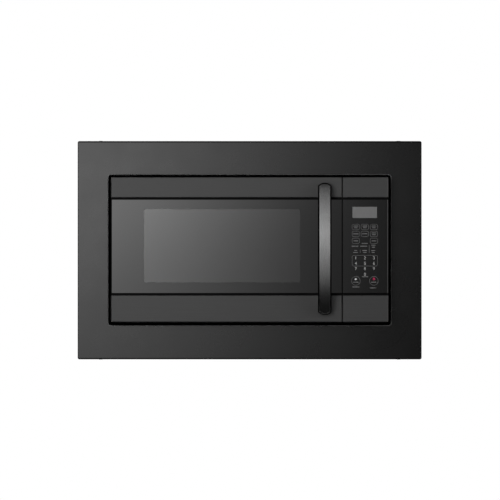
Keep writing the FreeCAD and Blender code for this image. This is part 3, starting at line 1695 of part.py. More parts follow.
def make_window_layers():
    screen = new_body("window_screen")
    screen_back = inner_back - d.inner_sheet
    outline = window_rectangle(d.window_margin + d.screen_margin)
    add(screen, FRONT, [outline], screen_back - d.screen_sheet, screen_back)
    keep("window_screen", screen)
    pane = new_body("inner_window")
    outline = window_rectangle(d.inner_window_margin)
    add(pane, FRONT, [outline], inner_back, inner_back + d.inner_window_sheet)
    keep("inner_window", pane)
    cover = new_body("choke_cover")
    hole = window_rectangle(d.inner_window_margin + d.inner_window_clearance)
    margin = d.choke_cover_margin
    outline = rectangle(inner_left, face_low + margin, door_right - margin / 2, face_high - margin)
    add(cover, FRONT, [outline, hole] + latch_slots(), inner_back, door_back)
    middle = d.inner_sheet + (d.choke_width - d.choke_rib_sheet) / 2
    rib = [inset_rectangle(middle), inset_rectangle(middle + d.choke_rib_sheet)]
    add(cover, FRONT, rib, inner_back - d.choke_rib_depth, inner_back)
    keep("choke_cover", cover)


def bow_arc(sketch, radius, low, high):
    """One arc of the bow in the side view, about the bow's centre, and its index."""
    centre = (handle_centre_y, handle_middle)
    whole = Part.Circle(vector(centre), FreeCAD.Vector(0, 0, 1), radius.value)
    tilt = math.asin((high - low).value / 2 / radius.value)
    arc = sketch.addGeometry(Part.ArcOfCircle(whole, math.pi - tilt, math.pi + tilt))
    lock_point(sketch, arc, 3, centre)
    lock(sketch, "Radius", (arc,), radius)
    lock(sketch, "DistanceY", (-1, 1, arc, 1), high)
    lock(sketch, "DistanceY", (-1, 1, arc, 2), low)
    return arc


def end_arch(end, outward):
    """What is cut from one end of the bow: all beyond an arch between its two shoulders."""
    half = d.handle_width / 2
    rise = d.handle_end_rise
    radius = (half * half + rise * rise) / (rise * 2)
    clear = end + rise * 2 * outward
    first_x = handle_x + half * outward
    last_x = handle_x - half * outward

    def draw(sketch):
        centre = (handle_x, end - radius * outward)
        whole = Part.Circle(vector(centre), FreeCAD.Vector(0, 0, 1), radius.value)
        middle = math.pi / 2 * outward
        tilt = math.asin(half.value / radius.value)
        arc = sketch.addGeometry(Part.ArcOfCircle(whole, middle - tilt, middle + tilt))
        lock_point(sketch, arc, 3, centre)
        lock(sketch, "Radius", (arc,), radius)
        lock(sketch, "DistanceX", (-1, 1, arc, 1), first_x)
        lock(sketch, "DistanceX", (-1, 1, arc, 2), last_x)
        corners = [vector((last_x, clear)), vector((first_x, clear))]
        path = [sketch.getPoint(arc, 2), *corners, sketch.getPoint(arc, 1)]
        lines = [sketch.addGeometry(Part.LineSegment(*pair)) for pair in zip(path, path[1:])]
        join(sketch, arc, 2, lines[0], 1)
        join(sketch, lines[0], 2, lines[1], 1)
        join(sketch, lines[1], 2, lines[2], 1)
        join(sketch, lines[2], 2, arc, 1)
        lock_point(sketch, lines[1], 1, (last_x, clear))
        lock_point(sketch, lines[1], 2, (first_x, clear))

    return draw


def make_handle():
    """A bow of even thickness whose ends stand on two feet, with arched ends and bevelled front edges."""
    bar = new_body("handle_bar")
    left = handle_x - d.handle_width / 2
    sketch = sketch_on(bar, SIDE, left)
    bow_low = handle_low - d.handle_end_rise
    bow_high = handle_high + d.handle_end_rise
    outer = bow_arc(sketch, handle_radius, bow_low, bow_high)
    inner = bow_arc(sketch, handle_radius - d.handle_thickness, bow_low, bow_high)
    for end in (1, 2):
        start_point = sketch.getPoint(outer, end)
        end_point = sketch.getPoint(inner, end)
        line = sketch.addGeometry(Part.LineSegment(start_point, end_point))
        join(sketch, line, 1, outer, end)
        join(sketch, line, 2, inner, end)
    bow = bar.newObject("PartDesign::Pad", "handle_bar_pad")
    bow.Profile = sketch
    bind(bow, "Length", d.handle_width)
    arches = [end_arch(handle_low, -1), end_arch(handle_high, 1)]
    ends = cut(bar, FRONT, arches, handle_front, door_front)
    shoulders = soften(bar, ends, d.handle_shoulder_radius, is_shoulder)
    bevel(bar, shoulders, d.handle_bevel, is_front_edge)
    keep("handle_bar", bar)
    make_handle_feet()


def is_shoulder(edge):
    """Whether an edge runs straight from front to back."""
    return edge.BoundBox.XLength < 1e-4 and edge.BoundBox.ZLength < 1e-4


def is_front_edge(edge):
    """Whether an edge lies on the bow's outer cylinder."""
    for vertex in edge.Vertexes:
        away = math.hypot(vertex.Y - handle_centre_y.value, vertex.Z - handle_middle.value)
        if abs(away - handle_radius.value) > 1e-3:
            return False
    return True


def make_handle_feet():
    """Blocks on the strips whose fronts follow the back of the bow, each drawn up by one screw."""
    feet = []
    screws = []
    half = d.handle_foot_width / 2
    hole = d.handle_screw_radius + d.handle_screw_clearance
    for low, high in foot_spans():
        block = new_body("handle_foot_block")
        outline = rectangle(handle_x - half, low, handle_x + half, high)
        add(block, FRONT, [outline], door_front - d.handle_reach, door_front)
        middle = (low + high) / 2
        cut(block, FRONT, [circle(handle_x, middle, hole)], door_front - d.handle_screw_depth, door_front)
        inside = document.addObject("Part::Cylinder", "bow_back")
        bind(inside, "Radius", handle_radius - d.handle_thickness)
        bind(inside, "Height", d.handle_width)
        turn = FreeCAD.Rotation(FreeCAD.Vector(0, 1, 0), 90)
        place(inside, handle_x - d.handle_width / 2, handle_centre_y, handle_middle, turn)
        foot = document.addObject("Part::Common", "handle_foot")
        foot.Base = block
        foot.Tool = inside
        feet.append(foot)
        radius = d.handle_screw_head_radius
        height = d.handle_screw_head_height
        head = rod("screw_head", "Y", radius, handle_x, screw_head_front, middle, height)
        tip = door_front - d.handle_screw_depth + d.handle_screw_clearance
        shank = rod("screw_shank", "Y", d.handle_screw_radius, handle_x, tip, middle, screw_head_front - tip)
        screws.append(fuse("handle_screw", [head, shank]))
    group("handle_feet", feet)
    group("handle_screws", screws)


slider_front = web_back + d.latch_web_gap
slider_back = slider_front + d.latch_depth
hook_end = door_back + d.latch_reach


def make_latch_slider():
    """An upright plate in the door's right stile with two hooks that point into the oven."""
    body = new_body("latch_slider")
    half = d.latch_half_height
    plate = rectangle(slider_front, face_middle - half, slider_back, face_middle + half)
    add(body, SIDE, [plate], latch_left, latch_right)
    for middle in hook_heights():
        low = middle - d.latch_arm_height / 2
        high = middle + d.latch_arm_height / 2
        hook = polygon(
            [
                (slider_back - d.latch_sheet, low),
                (hook_end - d.latch_barb_length, low),
                (hook_end - d.latch_barb_length + d.latch_barb_height, low - d.latch_barb_height),
                (hook_end - d.latch_barb_height, low - d.latch_barb_height),
                (hook_end, low),
                (hook_end, high),
                (slider_back - d.latch_sheet, high),
            ]
        )
        add(body, SIDE, [hook], latch_left, latch_right)
    keep("latch_slider", body)


spring_x = (latch_left + latch_right) / 2
spring_y = slider_front + d.latch_depth / 2
spring_low = face_middle + d.latch_half_height + d.spring_gap


def make_latch_spring():
    """A compression coil that presses the slider down, wound as half-turn arcs."""
    radius = d.spring_radius.value
    wire = d.spring_wire_radius.value
    turns = SIZES["spring_turns"]
    rise = (SIZES["spring_length"] - 2 * wire) / turns

    def point(turn):
        angle = 2 * math.pi * turn
        return FreeCAD.Vector(radius * math.cos(angle), radius * math.sin(angle), wire + rise * turn)

    halves = range(2 * turns)
    arcs = [Part.Arc(point(i / 2), point(i / 2 + 0.25), point(i / 2 + 0.5)).toShape() for i in halves]
    start = point(0)
    circle_edge = Part.Circle(start, FreeCAD.Vector(0, 2 * math.pi * radius, rise), wire).toShape()
    shape = Part.Wire(arcs).makePipeShell([Part.Wire([circle_edge])], True, False)
    spring = document.addObject("Part::Feature", "latch_spring")
    spring.Shape = shape
    place(spring, spring_x, spring_y, spring_low)
    keep("latch_spring", spring)


def make_hinge(label, plate_low, plate_high, pin_low, pin_high, flange_low, flange_high):
    """A bent plate on the oven's face that carries one hinge pin."""
    body = new_body(label)
    half = d.hinge_plate_half_width
    rounded = ["low_left", "low_right"]
    rounding = d.hinge_plate_corner_radius
    plate = rectangle(hinge_x - half, hinge_y - half, hinge_x + half, face_front, rounding, rounded)
    add(body, PLAN, [plate], plate_low, plate_high)
    flange = rectangle(hinge_x - half, flange_low, hinge_x + half, flange_high)
    add(body, FRONT, [flange], face_front - d.hinge_flange_sheet, face_front)
    add(body, PLAN, [circle(hinge_x, hinge_y, d.hinge_pin_radius)], pin_low, pin_high)
    keep(label, body)


low_plate_top = face_low + d.hinge_plate_inset + d.hinge_plate_sheet
high_plate_low = face_high - d.hinge_plate_inset - d.hinge_plate_sheet


def make_hinges():
    low = face_low + d.hinge_plate_inset
    high = face_high - d.hinge_plate_inset
    make_hinge(
        "hinge_lower",
        low,
        low_plate_top,
        low,
        low_plate_top + d.hinge_pin_length,
        case_low,
        case_low + d.hinge_flange_height,
    )
    make_hinge(
        "hinge_upper",
        high_plate_low,
        high,
        high_plate_low - d.hinge_pin_length,
        high,
        case_high - d.hinge_flange_height,
        case_high,
    )
    bushes = []
    spans = [
        (low_plate_top + d.hinge_bush_gap, lug_spans()[0][1]),
        (lug_spans()[1][0], high_plate_low - d.hinge_bush_gap),
    ]
    for low, high in spans:
        bush = new_body("hinge_bush")
        place(bush, hinge_x, hinge_y, ZERO)
        bore = d.hinge_pin_radius + d.running_clearance
        add(bush, PLAN, [circle(ZERO, ZERO, bush_radius), circle(ZERO, ZERO, bore)], low, high)
        bushes.append(bush)
    group("hinge_bushes", bushes)


bracket_x = (latch_left + latch_right) / 2
bracket_right = bracket_x + d.bracket_half_width
bracket_back = face_back + d.bracket_depth


def make_latch_bracket():
    """A moulded channel behind the face plate with a ledge under each hook."""
    body = new_body("latch_bracket")
    wall = d.bracket_wall
    half = d.bracket_half_width
    low = face_middle - d.bracket_half_height
    high = face_middle + d.bracket_half_height
    section = polygon(
        [
            (bracket_x - half, face_back),
            (bracket_x - half + wall, face_back),
            (bracket_x - half + wall, bracket_back - wall),
            (bracket_x + half - wall, bracket_back - wall),
            (bracket_x + half - wall, face_back),
            (bracket_x + half, face_back),
            (bracket_x + half, bracket_back),
            (bracket_x - half, bracket_back),
        ]
    )
    add(body, PLAN, [section], low, high)
    ledge_front = face_back + d.bracket_ledge_setback
    ledge_back = ledge_front + d.bracket_ledge_depth
    for middle in hook_heights():
        ledge_high = middle - d.latch_arm_height / 2 - d.bracket_ledge_gap
        ledge = rectangle(bracket_x - half, ledge_high - d.bracket_ledge_height, bracket_x + half, ledge_high)
        add(body, FRONT, [ledge], ledge_front, ledge_back)
    keep("latch_bracket", body)


def make_interlock_switches():
    """Snap switches in a column on the bracket's side, each with three blade terminals."""
    switches = []
    front = face_back + d.bracket_ledge_setback
    count = SIZES["switch_count"]
    for index in range(count):
        body = new_body("interlock_switch")
        middle = face_middle + d.switch_spacing * (index - (count - 1) / 2)
        half = d.switch_height / 2
        case_outline = rectangle(front, middle - half, front + d.switch_length, middle + half)
        add(body, SIDE, [case_outline], bracket_right, bracket_right + d.switch_width)
        back = front + d.switch_length
        blades = []
        for share in (-1, 0, 1):
            z = middle + half * share / 2
            blades.append(rectangle(back, z, back + d.switch_tab_length, z + d.switch_tab_sheet))
        inset = d.switch_tab_inset
        add(body, SIDE, blades, bracket_right + inset, bracket_right + d.switch_width - inset)
        switches.append(body)
    group("interlock_switches", switches)


display_left = panel_left + d.display_inset_left
display_right = display_left + d.display_width
display_high = glass_high - d.display_inset_top
display_low = display_high - d.display_height
board_front = shell_front + d.board_gap
foil_high = display_low - d.foil_gap_display


def foil_rectangle(margin):
    return rectangle(
        panel_left + d.foil_margin - margin,
        glass_low + d.foil_margin - margin,
        panel_right - d.foil_margin + margin,
        foil_high + margin,
    )


def board_bosses():
    inset = d.board_margin + d.board_boss_radius * 2
    return [
        circle(x, z, d.board_boss_radius)
        for x in (panel_left + inset, panel_right - inset)
        for z in (glass_low + d.board_margin, glass_high + d.board_margin)
    ]


def make_panel_housing():
    body = new_body("panel_housing")
    wall = d.shell_wall
    radius = d.face_corner_radius
    corners = ["low_right", "high_right"]
    outline = rectangle(panel_left, face_low, panel_right, face_high, radius, corners)
    add(body, FRONT, [outline], shell_front, face_front)
    inside = rectangle(
        panel_left + wall,
        face_low + wall,
        panel_right - wall,
        face_high - wall,
        radius - wall,
        corners,
    )
    cut(body, FRONT, [inside], web_back, face_front)
    gap = d.display_clearance
    hole = rectangle(display_left - gap, display_low - gap, display_right + gap, display_high + gap)
    cut(body, FRONT, [hole], shell_front, web_back)
    cut(body, FRONT, [foil_rectangle(gap)], shell_front, shell_front + d.foil_sheet)
    add(body, FRONT, board_bosses(), shell_front + d.shell_web / 2, board_front)
    keep("panel_housing", body)


def make_panel_electronics():
    display = new_body("display_module")
    window = rectangle(display_left, display_low, display_right, display_high)
    add(display, FRONT, [window], shell_front, board_front)
    keep("display_module", display)
    foil = new_body("touch_foil")
    add(foil, FRONT, [foil_rectangle(ZERO)], shell_front, shell_front + d.foil_sheet)
    keep("touch_foil", foil)
    board = new_body("control_board")
    margin = d.board_margin
    back = board_front + d.board_sheet
    low = glass_low - margin
    high = glass_high + margin * 2
    add(board, FRONT, [rectangle(panel_left + margin, low, panel_right - margin, high)], board_front, back)
    relay_left = panel_left + margin + d.relay_inset
    relay_low = low + d.relay_inset
    relays = [
        rectangle(relay_left, relay_low, relay_left + d.relay_width, relay_low + d.relay_height),
        rectangle(
            relay_left + d.relay_width + d.relay_inset,
            relay_low,
            relay_left + d.relay_width * 2 + d.relay_inset,
            relay_low + d.relay_height,
        ),
    ]
    add(board, FRONT, relays, back, back + d.relay_depth)
    keep("control_board", board)


def make_all():
    make_trim_frame()
    make_gap_baffle()
    make_side_rails()
    make_trim_screws()
    make_base_duct()
    make_feet()
    make_outer_case()
    make_base_plate()
    make_back_plate()
    make_case_screws()
    make_cord_bush()
    make_face_plate()
    make_cavity()
    make_waveguide()
    make_waveguide_cover()
    make_cavity_lamp()
    make_thermostat()
    make_magnetron()
    make_transformer()
    make_capacitor()
    make_diode()
    make_fan()
    make_filter_board()
    make_turntable_drive()
    make_roller_ring()
    make_glass_tray()
    make_strips()
    make_glasses()
    make_door_shell()
    make_inner_panel()
    make_window_layers()
    make_handle()
    make_latch_slider()
    make_latch_spring()
    make_hinges()
    make_latch_bracket()
    make_interlock_switches()
    make_panel_housing()
    make_panel_electronics()


def check_all():
    """Stops if any object failed or any piece has no valid shape."""
    document.recompute()
    bad = [o.Name for o in document.Objects if {"Invalid", "Error"} & set(o.State)]
    bad += [label for label, piece in nodes.items() if piece.Shape.isNull() or not piece.Shape.isValid()]
    if bad:
        raise RuntimeError("failed: " + ", ".join(bad))


def write_all():
    os.makedirs("parts", exist_ok=True)
    for label, piece in nodes.items():
        piece.Shape.exportStep(os.path.join("parts", label + ".step"))
        print(label, len(piece.Shape.Solids), round(piece.Shape.Volume / 1000, 2), "cm3")
    print(len(nodes), "pieces")


make_all()
check_all()
write_all()
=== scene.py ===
"""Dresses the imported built-in microwave: finishes, printed panel, wound latch spring and a plain studio."""

import json
import math

import bpy
from bpy.props import FloatProperty
from bpy.props import FloatVectorProperty
from bpy.props import PointerProperty
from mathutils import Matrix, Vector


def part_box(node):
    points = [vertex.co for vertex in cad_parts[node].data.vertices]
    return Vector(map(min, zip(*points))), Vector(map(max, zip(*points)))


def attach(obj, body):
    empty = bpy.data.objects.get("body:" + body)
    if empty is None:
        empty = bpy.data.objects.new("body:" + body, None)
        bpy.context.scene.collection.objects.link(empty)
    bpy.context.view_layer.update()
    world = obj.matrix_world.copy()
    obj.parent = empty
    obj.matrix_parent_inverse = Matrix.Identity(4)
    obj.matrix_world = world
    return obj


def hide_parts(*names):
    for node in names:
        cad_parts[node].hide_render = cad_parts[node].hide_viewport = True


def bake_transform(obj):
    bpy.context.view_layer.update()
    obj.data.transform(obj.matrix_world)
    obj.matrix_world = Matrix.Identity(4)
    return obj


bl_info = {
    "name": "Built-in microwave looks",
    "version": (1, 0, 0),
    "blender": (4, 5, 0),
    "location": "View3D > Sidebar > Microwave",
    "description": "Finishes, panel prints, a latch spring and a studio for a built-in microwave",
    "category": "Object",
}

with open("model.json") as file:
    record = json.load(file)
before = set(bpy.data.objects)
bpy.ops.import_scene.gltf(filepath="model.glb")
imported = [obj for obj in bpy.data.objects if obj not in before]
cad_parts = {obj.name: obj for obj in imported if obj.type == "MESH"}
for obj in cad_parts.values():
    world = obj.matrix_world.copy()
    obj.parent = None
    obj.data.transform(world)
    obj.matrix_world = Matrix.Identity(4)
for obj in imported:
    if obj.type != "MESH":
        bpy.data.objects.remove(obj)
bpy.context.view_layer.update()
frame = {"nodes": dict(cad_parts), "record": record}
NODES = frame["nodes"]
MM = 0.001
# The turn that stands a flat shape upright, so that it faces -Y
UPRIGHT = (math.pi / 2, 0, 0)

# How far the screen and the gap's sleeve reach past the window and the opening that they sit behind
SCREEN_MARGIN = 14.3 * MM
SLEEVE_MARGIN = 1 * MM
# The width of the painted highlight on the frame's bend round its opening, and the corners of the opening and
# the window
BEND_HIGHLIGHT_WIDTH = 1.6 * MM
OPENING_CORNER = 7 * MM
WINDOW_CORNER = 3.4 * MM
# The frame's outer edge, where the coat is thin and dull
RIM_WIDTH = 1.8 * MM
# The frame's rolled upper and lower edges, darkened as painted shade to throw back about 1% of the light,
# less than a flat coat
SHADED_ROLLED_EDGE = 3.4 * MM
# The colour of that painted shade, also used on the glasses' ground sides
PAINTED_SHADE_EDGE = "#1c1c1c"
# Widths of the glasses' left and right sides that are ground and darkened as painted shade
DOOR_GROUND_SHADE_LEFT = 2.0 * MM
DOOR_GROUND_SHADE_RIGHT = 1.0 * MM
CONTROL_GROUND_SHADE = 1.0 * MM
# The split between door and controls, the painted shade on the face behind it and on the ends of the door's
# strips
DOOR_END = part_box("door_glass")[1].x
SPLIT_MIDDLE = (DOOR_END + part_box("panel_glass")[0].x) / 2
SPLIT_SHADE_WIDTH = 9 * MM
SPLIT_SHADE_END = 2.6 * MM
# The handle's rise above its ends, how deep its brushed front reaches, how far down from its top end
# the painted shade in the coat's colour reaches, and its share at that end
HANDLE_BOW = 27 * MM
FACE_DEPTH = 0.06 * MM
HANDLE_TOP_SHADE = 14 * MM
HANDLE_TOP_SHADE_SHARE = 0.6

# The middle range of a texture's values, in which nearly all of them lie
TEXTURE_LOW = 0.3
TEXTURE_HIGH = 0.7
# A Mix node's two colour inputs and its colour output
COLOUR_A = 6
COLOUR_B = 7
COLOUR_OUT = 2


def linear(code):
    """An sRGB hex colour as linear red, green, blue and alpha."""
    channels = []
    for start in (1, 3, 5):
        value = int(code[start:start + 2], 16) / 255
        if value <= 0.04045:
            channels.append(value / 12.92)
        else:
            channels.append(((value + 0.055) / 1.055) ** 2.4)
    return (*channels, 1.0)


def per_mm(size):
    """Texture scale for a feature of that many millimetres."""
    return 1.0 / (size * MM)


# Settings that a user would change


def length(title, text, millimetres):
    """A size that a user can change, given in millimetres."""
    return FloatProperty(name=title, description=text, default=millimetres * MM, unit="LENGTH", precision=5)


def colour(title, text, code):
    """A colour that a user can change, given as sRGB hex."""
    return FloatVectorProperty(
        name=title, description=text, default=linear(code), subtype="COLOR", size=4, min=0.0, max=1.0
    )


class PanelPrintSizes(bpy.types.PropertyGroup):
    """Sizes of what is printed on the control glass."""

    ink_rise: length("Ink height", "How far the ink stands off the glass", 0.06)
    line_width: length("Line width", "Width of the key outlines", 0.8)
    key_width: length("Key width", "Width of an outlined key", 16.9)
    key_height: length("Key height", "Height of an outlined key", 12.5)
    key_radius: length("Key corner", "Corner radius of an outlined key", 3.4)
    column_pitch: length("Column pitch", "Distance between key columns", 19.85)
    row_pitch: length("Row pitch", "Distance between the outlined key rows", 15.2)
    bar_height: length("Bar height", "Height of a plain caption bar", 1.7)
    digit_height: length("Digit size", "Type size of the digits", 9.3)
    round_key_radius: length("Round key", "Radius of the two round keys", 10.0)
    red_dot_radius: length("Red dot", "Radius of the red mark", 2.5)
    light_dot_radius: length("Light dot", "Radius of the light mark", 2.2)


class FinishColours(bpy.types.PropertyGroup):
    """Base colours of the finishes that show from the front."""

    trim: colour("Trim", "Satin black powder coat", "#040404")
    # The trim bend's colour is a painted highlight along the bend round the opening
    trim_bend_highlight: colour("Trim bend", "Thin coat on the bend round the opening", "#6a6a6a")
    strip: colour("Strips", "Brushed black stainless steel", "#454545")
    handle: colour("Handle", "Brushed dark stainless steel", "#9c9c9c")
    # The handle coat's colour is also painted as shade on the handle's top end
    handle_coat_and_top_shade: colour("Handle coat", "Matt black coat on the handle's sides", "#0a0a0a")
    glass: colour("Glass", "Black print behind the door's glass", "#060606")
    control_glass: colour("Control glass", "Black print behind the control glass", "#0f0f0f")
    window: colour("Window film", "Smoky mirror film on the window", "#525252")
    screen: colour("Screen", "Gloss black perforated sheet", "#161616")
    moulding: colour("Moulding", "Black moulded plastic", "#060606")
    display: colour("Display", "Unlit display lens", "#7d7d7d")
    outline: colour("Outlines", "Grey screen ink", "#6a6a6a")
    caption: colour("Captions", "Mid grey screen ink", "#7a7a7a")
    digit: colour("Digits", "Light grey screen ink", "#d0d0d0")
    light_mark: colour("Light mark", "White screen ink", "#f4f4f4")
    red_mark: colour("Red mark", "Red screen ink", "#c8285a")
    floor: colour("Floor", "Matt white floor", "#f2f2f2")


# Nodes, and what the finishes share


def put(tree, kind, settings=None, output=0):
    """Add one shader node and return one of its outputs, the first unless another is named.

    A setting names an input, an attribute or a ramp's stops. Another node's output, as its value, is linked.
    """
    node = tree.nodes.new("ShaderNode" + kind)
    for name, value in (settings or {}).items():
        if name == "stops":
            for stop, (position, shade) in zip(node.color_ramp.elements, value):
                stop.position = position
                stop.color = shade
        elif isinstance(value, bpy.types.NodeSocket):
            tree.links.new(value, node.inputs[name])
        elif isinstance(name, int) or name in node.inputs:
            node.inputs[name].default_value = value
        else:
            setattr(node, name, value)
    if node.outputs:
        return node.outputs[output]
    return None


def start_material(name):
    """A material with no nodes but the Object coordinates that its patterns read."""
    material = bpy.data.materials.new(name)
    material.use_nodes = True
    tree = material.node_tree
    tree.nodes.clear()
    place = put(tree, "TexCoord", output="Object")
    return material, tree, place


def surface(tree, settings):
    """End a material with a surface of those settings and textures."""
    shader = put(tree, "BsdfPrincipled", settings)
    put(tree, "OutputMaterial", {"Surface": shader})


def spread(low, high):
    """Settings that spread a texture's middle range between two values."""
    return {"From Min": TEXTURE_LOW, "From Max": TEXTURE_HIGH, "To Min": low, "To Max": high}


def shades(base, share):
    """Stops that darken and lighten a base colour by a share over a texture's middle range."""
    darker = tuple(channel * (1 - share) for channel in base[:3]) + (1.0,)
    lighter = tuple(min(1.0, channel * (1 + share)) for channel in base[:3]) + (1.0,)
    return ((TEXTURE_LOW, darker), (TEXTURE_HIGH, lighter))


def inside_box(tree, place, node, margin, corner):
    """1 where X and Z lie inside a node's box, let out by a margin, with round corners, and 0 elsewhere."""
    low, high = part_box(node)
    half = (high - low) / 2
    inset = margin - corner
    # The depth is let out so far that it never counts
    core = (half.x + inset, half.y + 1, half.z + inset)
    away = put(tree, "VectorMath", {"operation": "SUBTRACT", 0: place, 1: (low + high) / 2})
    sized = put(tree, "VectorMath", {"operation": "ABSOLUTE", 0: away})
    past = put(tree, "VectorMath", {"operation": "SUBTRACT", 0: sized, 1: core})
    beyond = put(tree, "VectorMath", {"operation": "MAXIMUM", 0: past})
    reach = put(tree, "VectorMath", {"operation": "LENGTH", 0: beyond}, "Value")
    return put(tree, "Math", {"operation": "LESS_THAN", 0: reach, 1: corner})


def band(tree, place, axis, middle, width):
    """1 in a band of that width about one place on an axis, and 0 elsewhere."""
    along = put(tree, "SeparateXYZ", {"Vector": place}, axis)
    return put(tree, "Math", {"operation": "COMPARE", 0: along, 1: middle, 2: width / 2})


def ground_shade_sides(tree, place, node, left, right):
    """1 within those widths of a glass's left and right side, which are ground and darkened as painted shade,
    and 0 elsewhere.
    """
    low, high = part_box(node)
    along = put(tree, "SeparateXYZ", {"Vector": place}, "X")
    first = put(tree, "Math", {"operation": "LESS_THAN", 0: along, 1: low.x + left})
    last = put(tree, "Math", {"operation": "GREATER_THAN", 0: along, 1: high.x - right})
    return put(tree, "Math", {"operation": "MAXIMUM", 0: first, 1: last})


def bow_face(tree, place):
    """1 on the handle's front, an arc about the bow's axis, and 0 on its bevels, sides and back."""
    low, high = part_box("handle_bar")
    half = (high.z - low.z) / 2
    radius = (half ** 2 + HANDLE_BOW ** 2) / (2 * HANDLE_BOW)
    axis = (0, low.y + radius, (low.z + high.z) / 2)
    away = put(tree, "VectorMath", {"operation": "SUBTRACT", 0: place, 1: axis})
    flat = put(tree, "VectorMath", {"operation": "MULTIPLY", 0: away, 1: (0, 1, 1)})
    reach = put(tree, "VectorMath", {"operation": "LENGTH", 0: flat}, "Value")
    return put(tree, "Math", {"operation": "GREATER_THAN", 0: reach, 1: radius - FACE_DEPTH})


# Finishes


def coated_steel(name, base, bend_highlight_colour, roughness, grain):
    """Sprayed and baked coat on sheet: fine orange peel, a painted highlight on the opening's bend, painted
    shade on the rolled upper and lower edges, duller on the rim.
    """
    material, tree, place = start_material(name)
    peel = put(tree, "TexNoise", {"Vector": place, "Scale": per_mm(grain), "Detail": 2.0})
    cloud = put(tree, "TexNoise", {"Vector": place, "Scale": per_mm(60), "Detail": 3.0})
    tint = put(tree, "ValToRGB", {"Fac": cloud, "stops": shades(base, 0.12)})
    # Painted highlight: the bend round the opening is lightened to the bend's grey
    bend = inside_box(tree, place, "gap_baffle", BEND_HIGHLIGHT_WIDTH - SLEEVE_MARGIN, OPENING_CORNER)
    bend_lit = {"data_type": "RGBA", "Factor": bend, COLOUR_A: tint, COLOUR_B: bend_highlight_colour}
    coat = put(tree, "Mix", bend_lit, COLOUR_OUT)
    low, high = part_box("trim_frame")
    flat = band(tree, place, "Z", (low.z + high.z) / 2, high.z - low.z - 2 * SHADED_ROLLED_EDGE)
    # Painted shade: the rolled edges are darkened, and set as a dark metal because a coat can't throw back so
    # little
    rolled = put(tree, "Math", {"operation": "SUBTRACT", 0: 1.0, 1: flat})
    edge_shaded = {"data_type": "RGBA", "Factor": rolled, COLOUR_A: coat, COLOUR_B: linear(PAINTED_SHADE_EDGE)}
    face = inside_box(tree, place, "trim_frame", -RIM_WIDTH, RIM_WIDTH)
    gloss = put(tree, "MapRange", {"Value": cloud, **spread(roughness - 0.02, roughness + 0.02)})
    surface(tree, {
        "Base Color": put(tree, "Mix", edge_shaded, COLOUR_OUT),
        "Metallic": rolled,
        "Roughness": put(tree, "Mix", {"Factor": face, "A": 0.6, "B": gloss}),
        "Normal": put(tree, "Bump", {"Height": peel, "Strength": 0.12, "Distance": 0.02 * MM}),
        "Specular IOR Level": 0.46,
    })
    return material


def brushed_maps(tree, place, base, roughness, strokes, depth):
    """Tone, gloss and relief of steel brushed one way, from strokes per metre along each axis."""
    along = put(tree, "Mapping", {"Vector": place, "Scale": strokes})
    lines = put(tree, "TexNoise", {"Vector": along, "Scale": 1.0, "Detail": 3.0, "Roughness": 0.6})
    return {
        "Base Color": put(tree, "ValToRGB", {"Fac": lines, "stops": shades(base, 0.09)}),
        "Roughness": put(tree, "MapRange", {"Value": lines, **spread(roughness - 0.05, roughness + 0.05)}),
        "Normal": put(tree, "Bump", {"Height": lines, "Strength": 0.06, "Distance": depth}),
    }


def brushed_metal(name, base, roughness, strokes):
    """Bare metal, brushed or rolled one way: long fine scratches that change its tone and gloss."""
    material, tree, place = start_material(name)
    maps = brushed_maps(tree, place, base, roughness, strokes, 0.03 * MM)
    surface(tree, {**maps, "Metallic": 1.0})
    return material


def strip_steel(name, base):
    """Black stainless, brushed along X: strokes 90 mm long and 1.2 mm apart, coarser than real ones."""
    material, tree, place = start_material(name)
    maps = brushed_maps(tree, place, base, 0.55, (11, 300, 800), 0.03 * MM)
    # Painted shade: the strips' ends beside the split are darkened to near black
    painted_shade = band(tree, place, "X", DOOR_END, SPLIT_SHADE_END)
    black = linear("#080808")
    end_shaded = {"data_type": "RGBA", "Factor": painted_shade, COLOUR_A: maps["Base Color"], COLOUR_B: black}
    surface(tree, {**maps, "Base Color": put(tree, "Mix", end_shaded, COLOUR_OUT), "Metallic": 0.3})
    return material


def handle_steel(name, base, coat):
    """Dark steel bow, brushed along its front; its bevels, sides and back have a matt black coat, and its top
    end is darkened toward the coat's colour as painted shade.
    """
    material, tree, place = start_material(name)
    # Strokes about 60 mm long and 1 mm apart
    maps = brushed_maps(tree, place, base, 0.2, (900, 900, 16), 0.004 * MM)
    front = bow_face(tree, place)
    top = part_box("handle_bar")[1].z
    # Painted shade: the front darkens toward the coat's colour over the top end
    height = put(tree, "SeparateXYZ", {"Vector": place}, "Z")
    reach = {"From Min": top - HANDLE_TOP_SHADE, "From Max": top, "To Max": HANDLE_TOP_SHADE_SHARE}
    top_shade = put(tree, "MapRange", {"Value": height, **reach})
    behind = put(tree, "Math", {"operation": "SUBTRACT", 0: 1.0, 1: front})
    coat_or_top_shade = put(tree, "Math", {"operation": "MAXIMUM", 0: behind, 1: top_shade})
    top_shaded = {"data_type": "RGBA", "Factor": coat_or_top_shade, COLOUR_A: maps["Base Color"], COLOUR_B: coat}
    surface(tree, {
        "Base Color": put(tree, "Mix", top_shaded, COLOUR_OUT),
        "Metallic": front,
        "Roughness": put(tree, "Mix", {"Factor": front, "A": 0.5, "B": maps["Roughness"]}),
        "Normal": maps["Normal"],
        "Specular IOR Level": 0.0,
    })
    return material


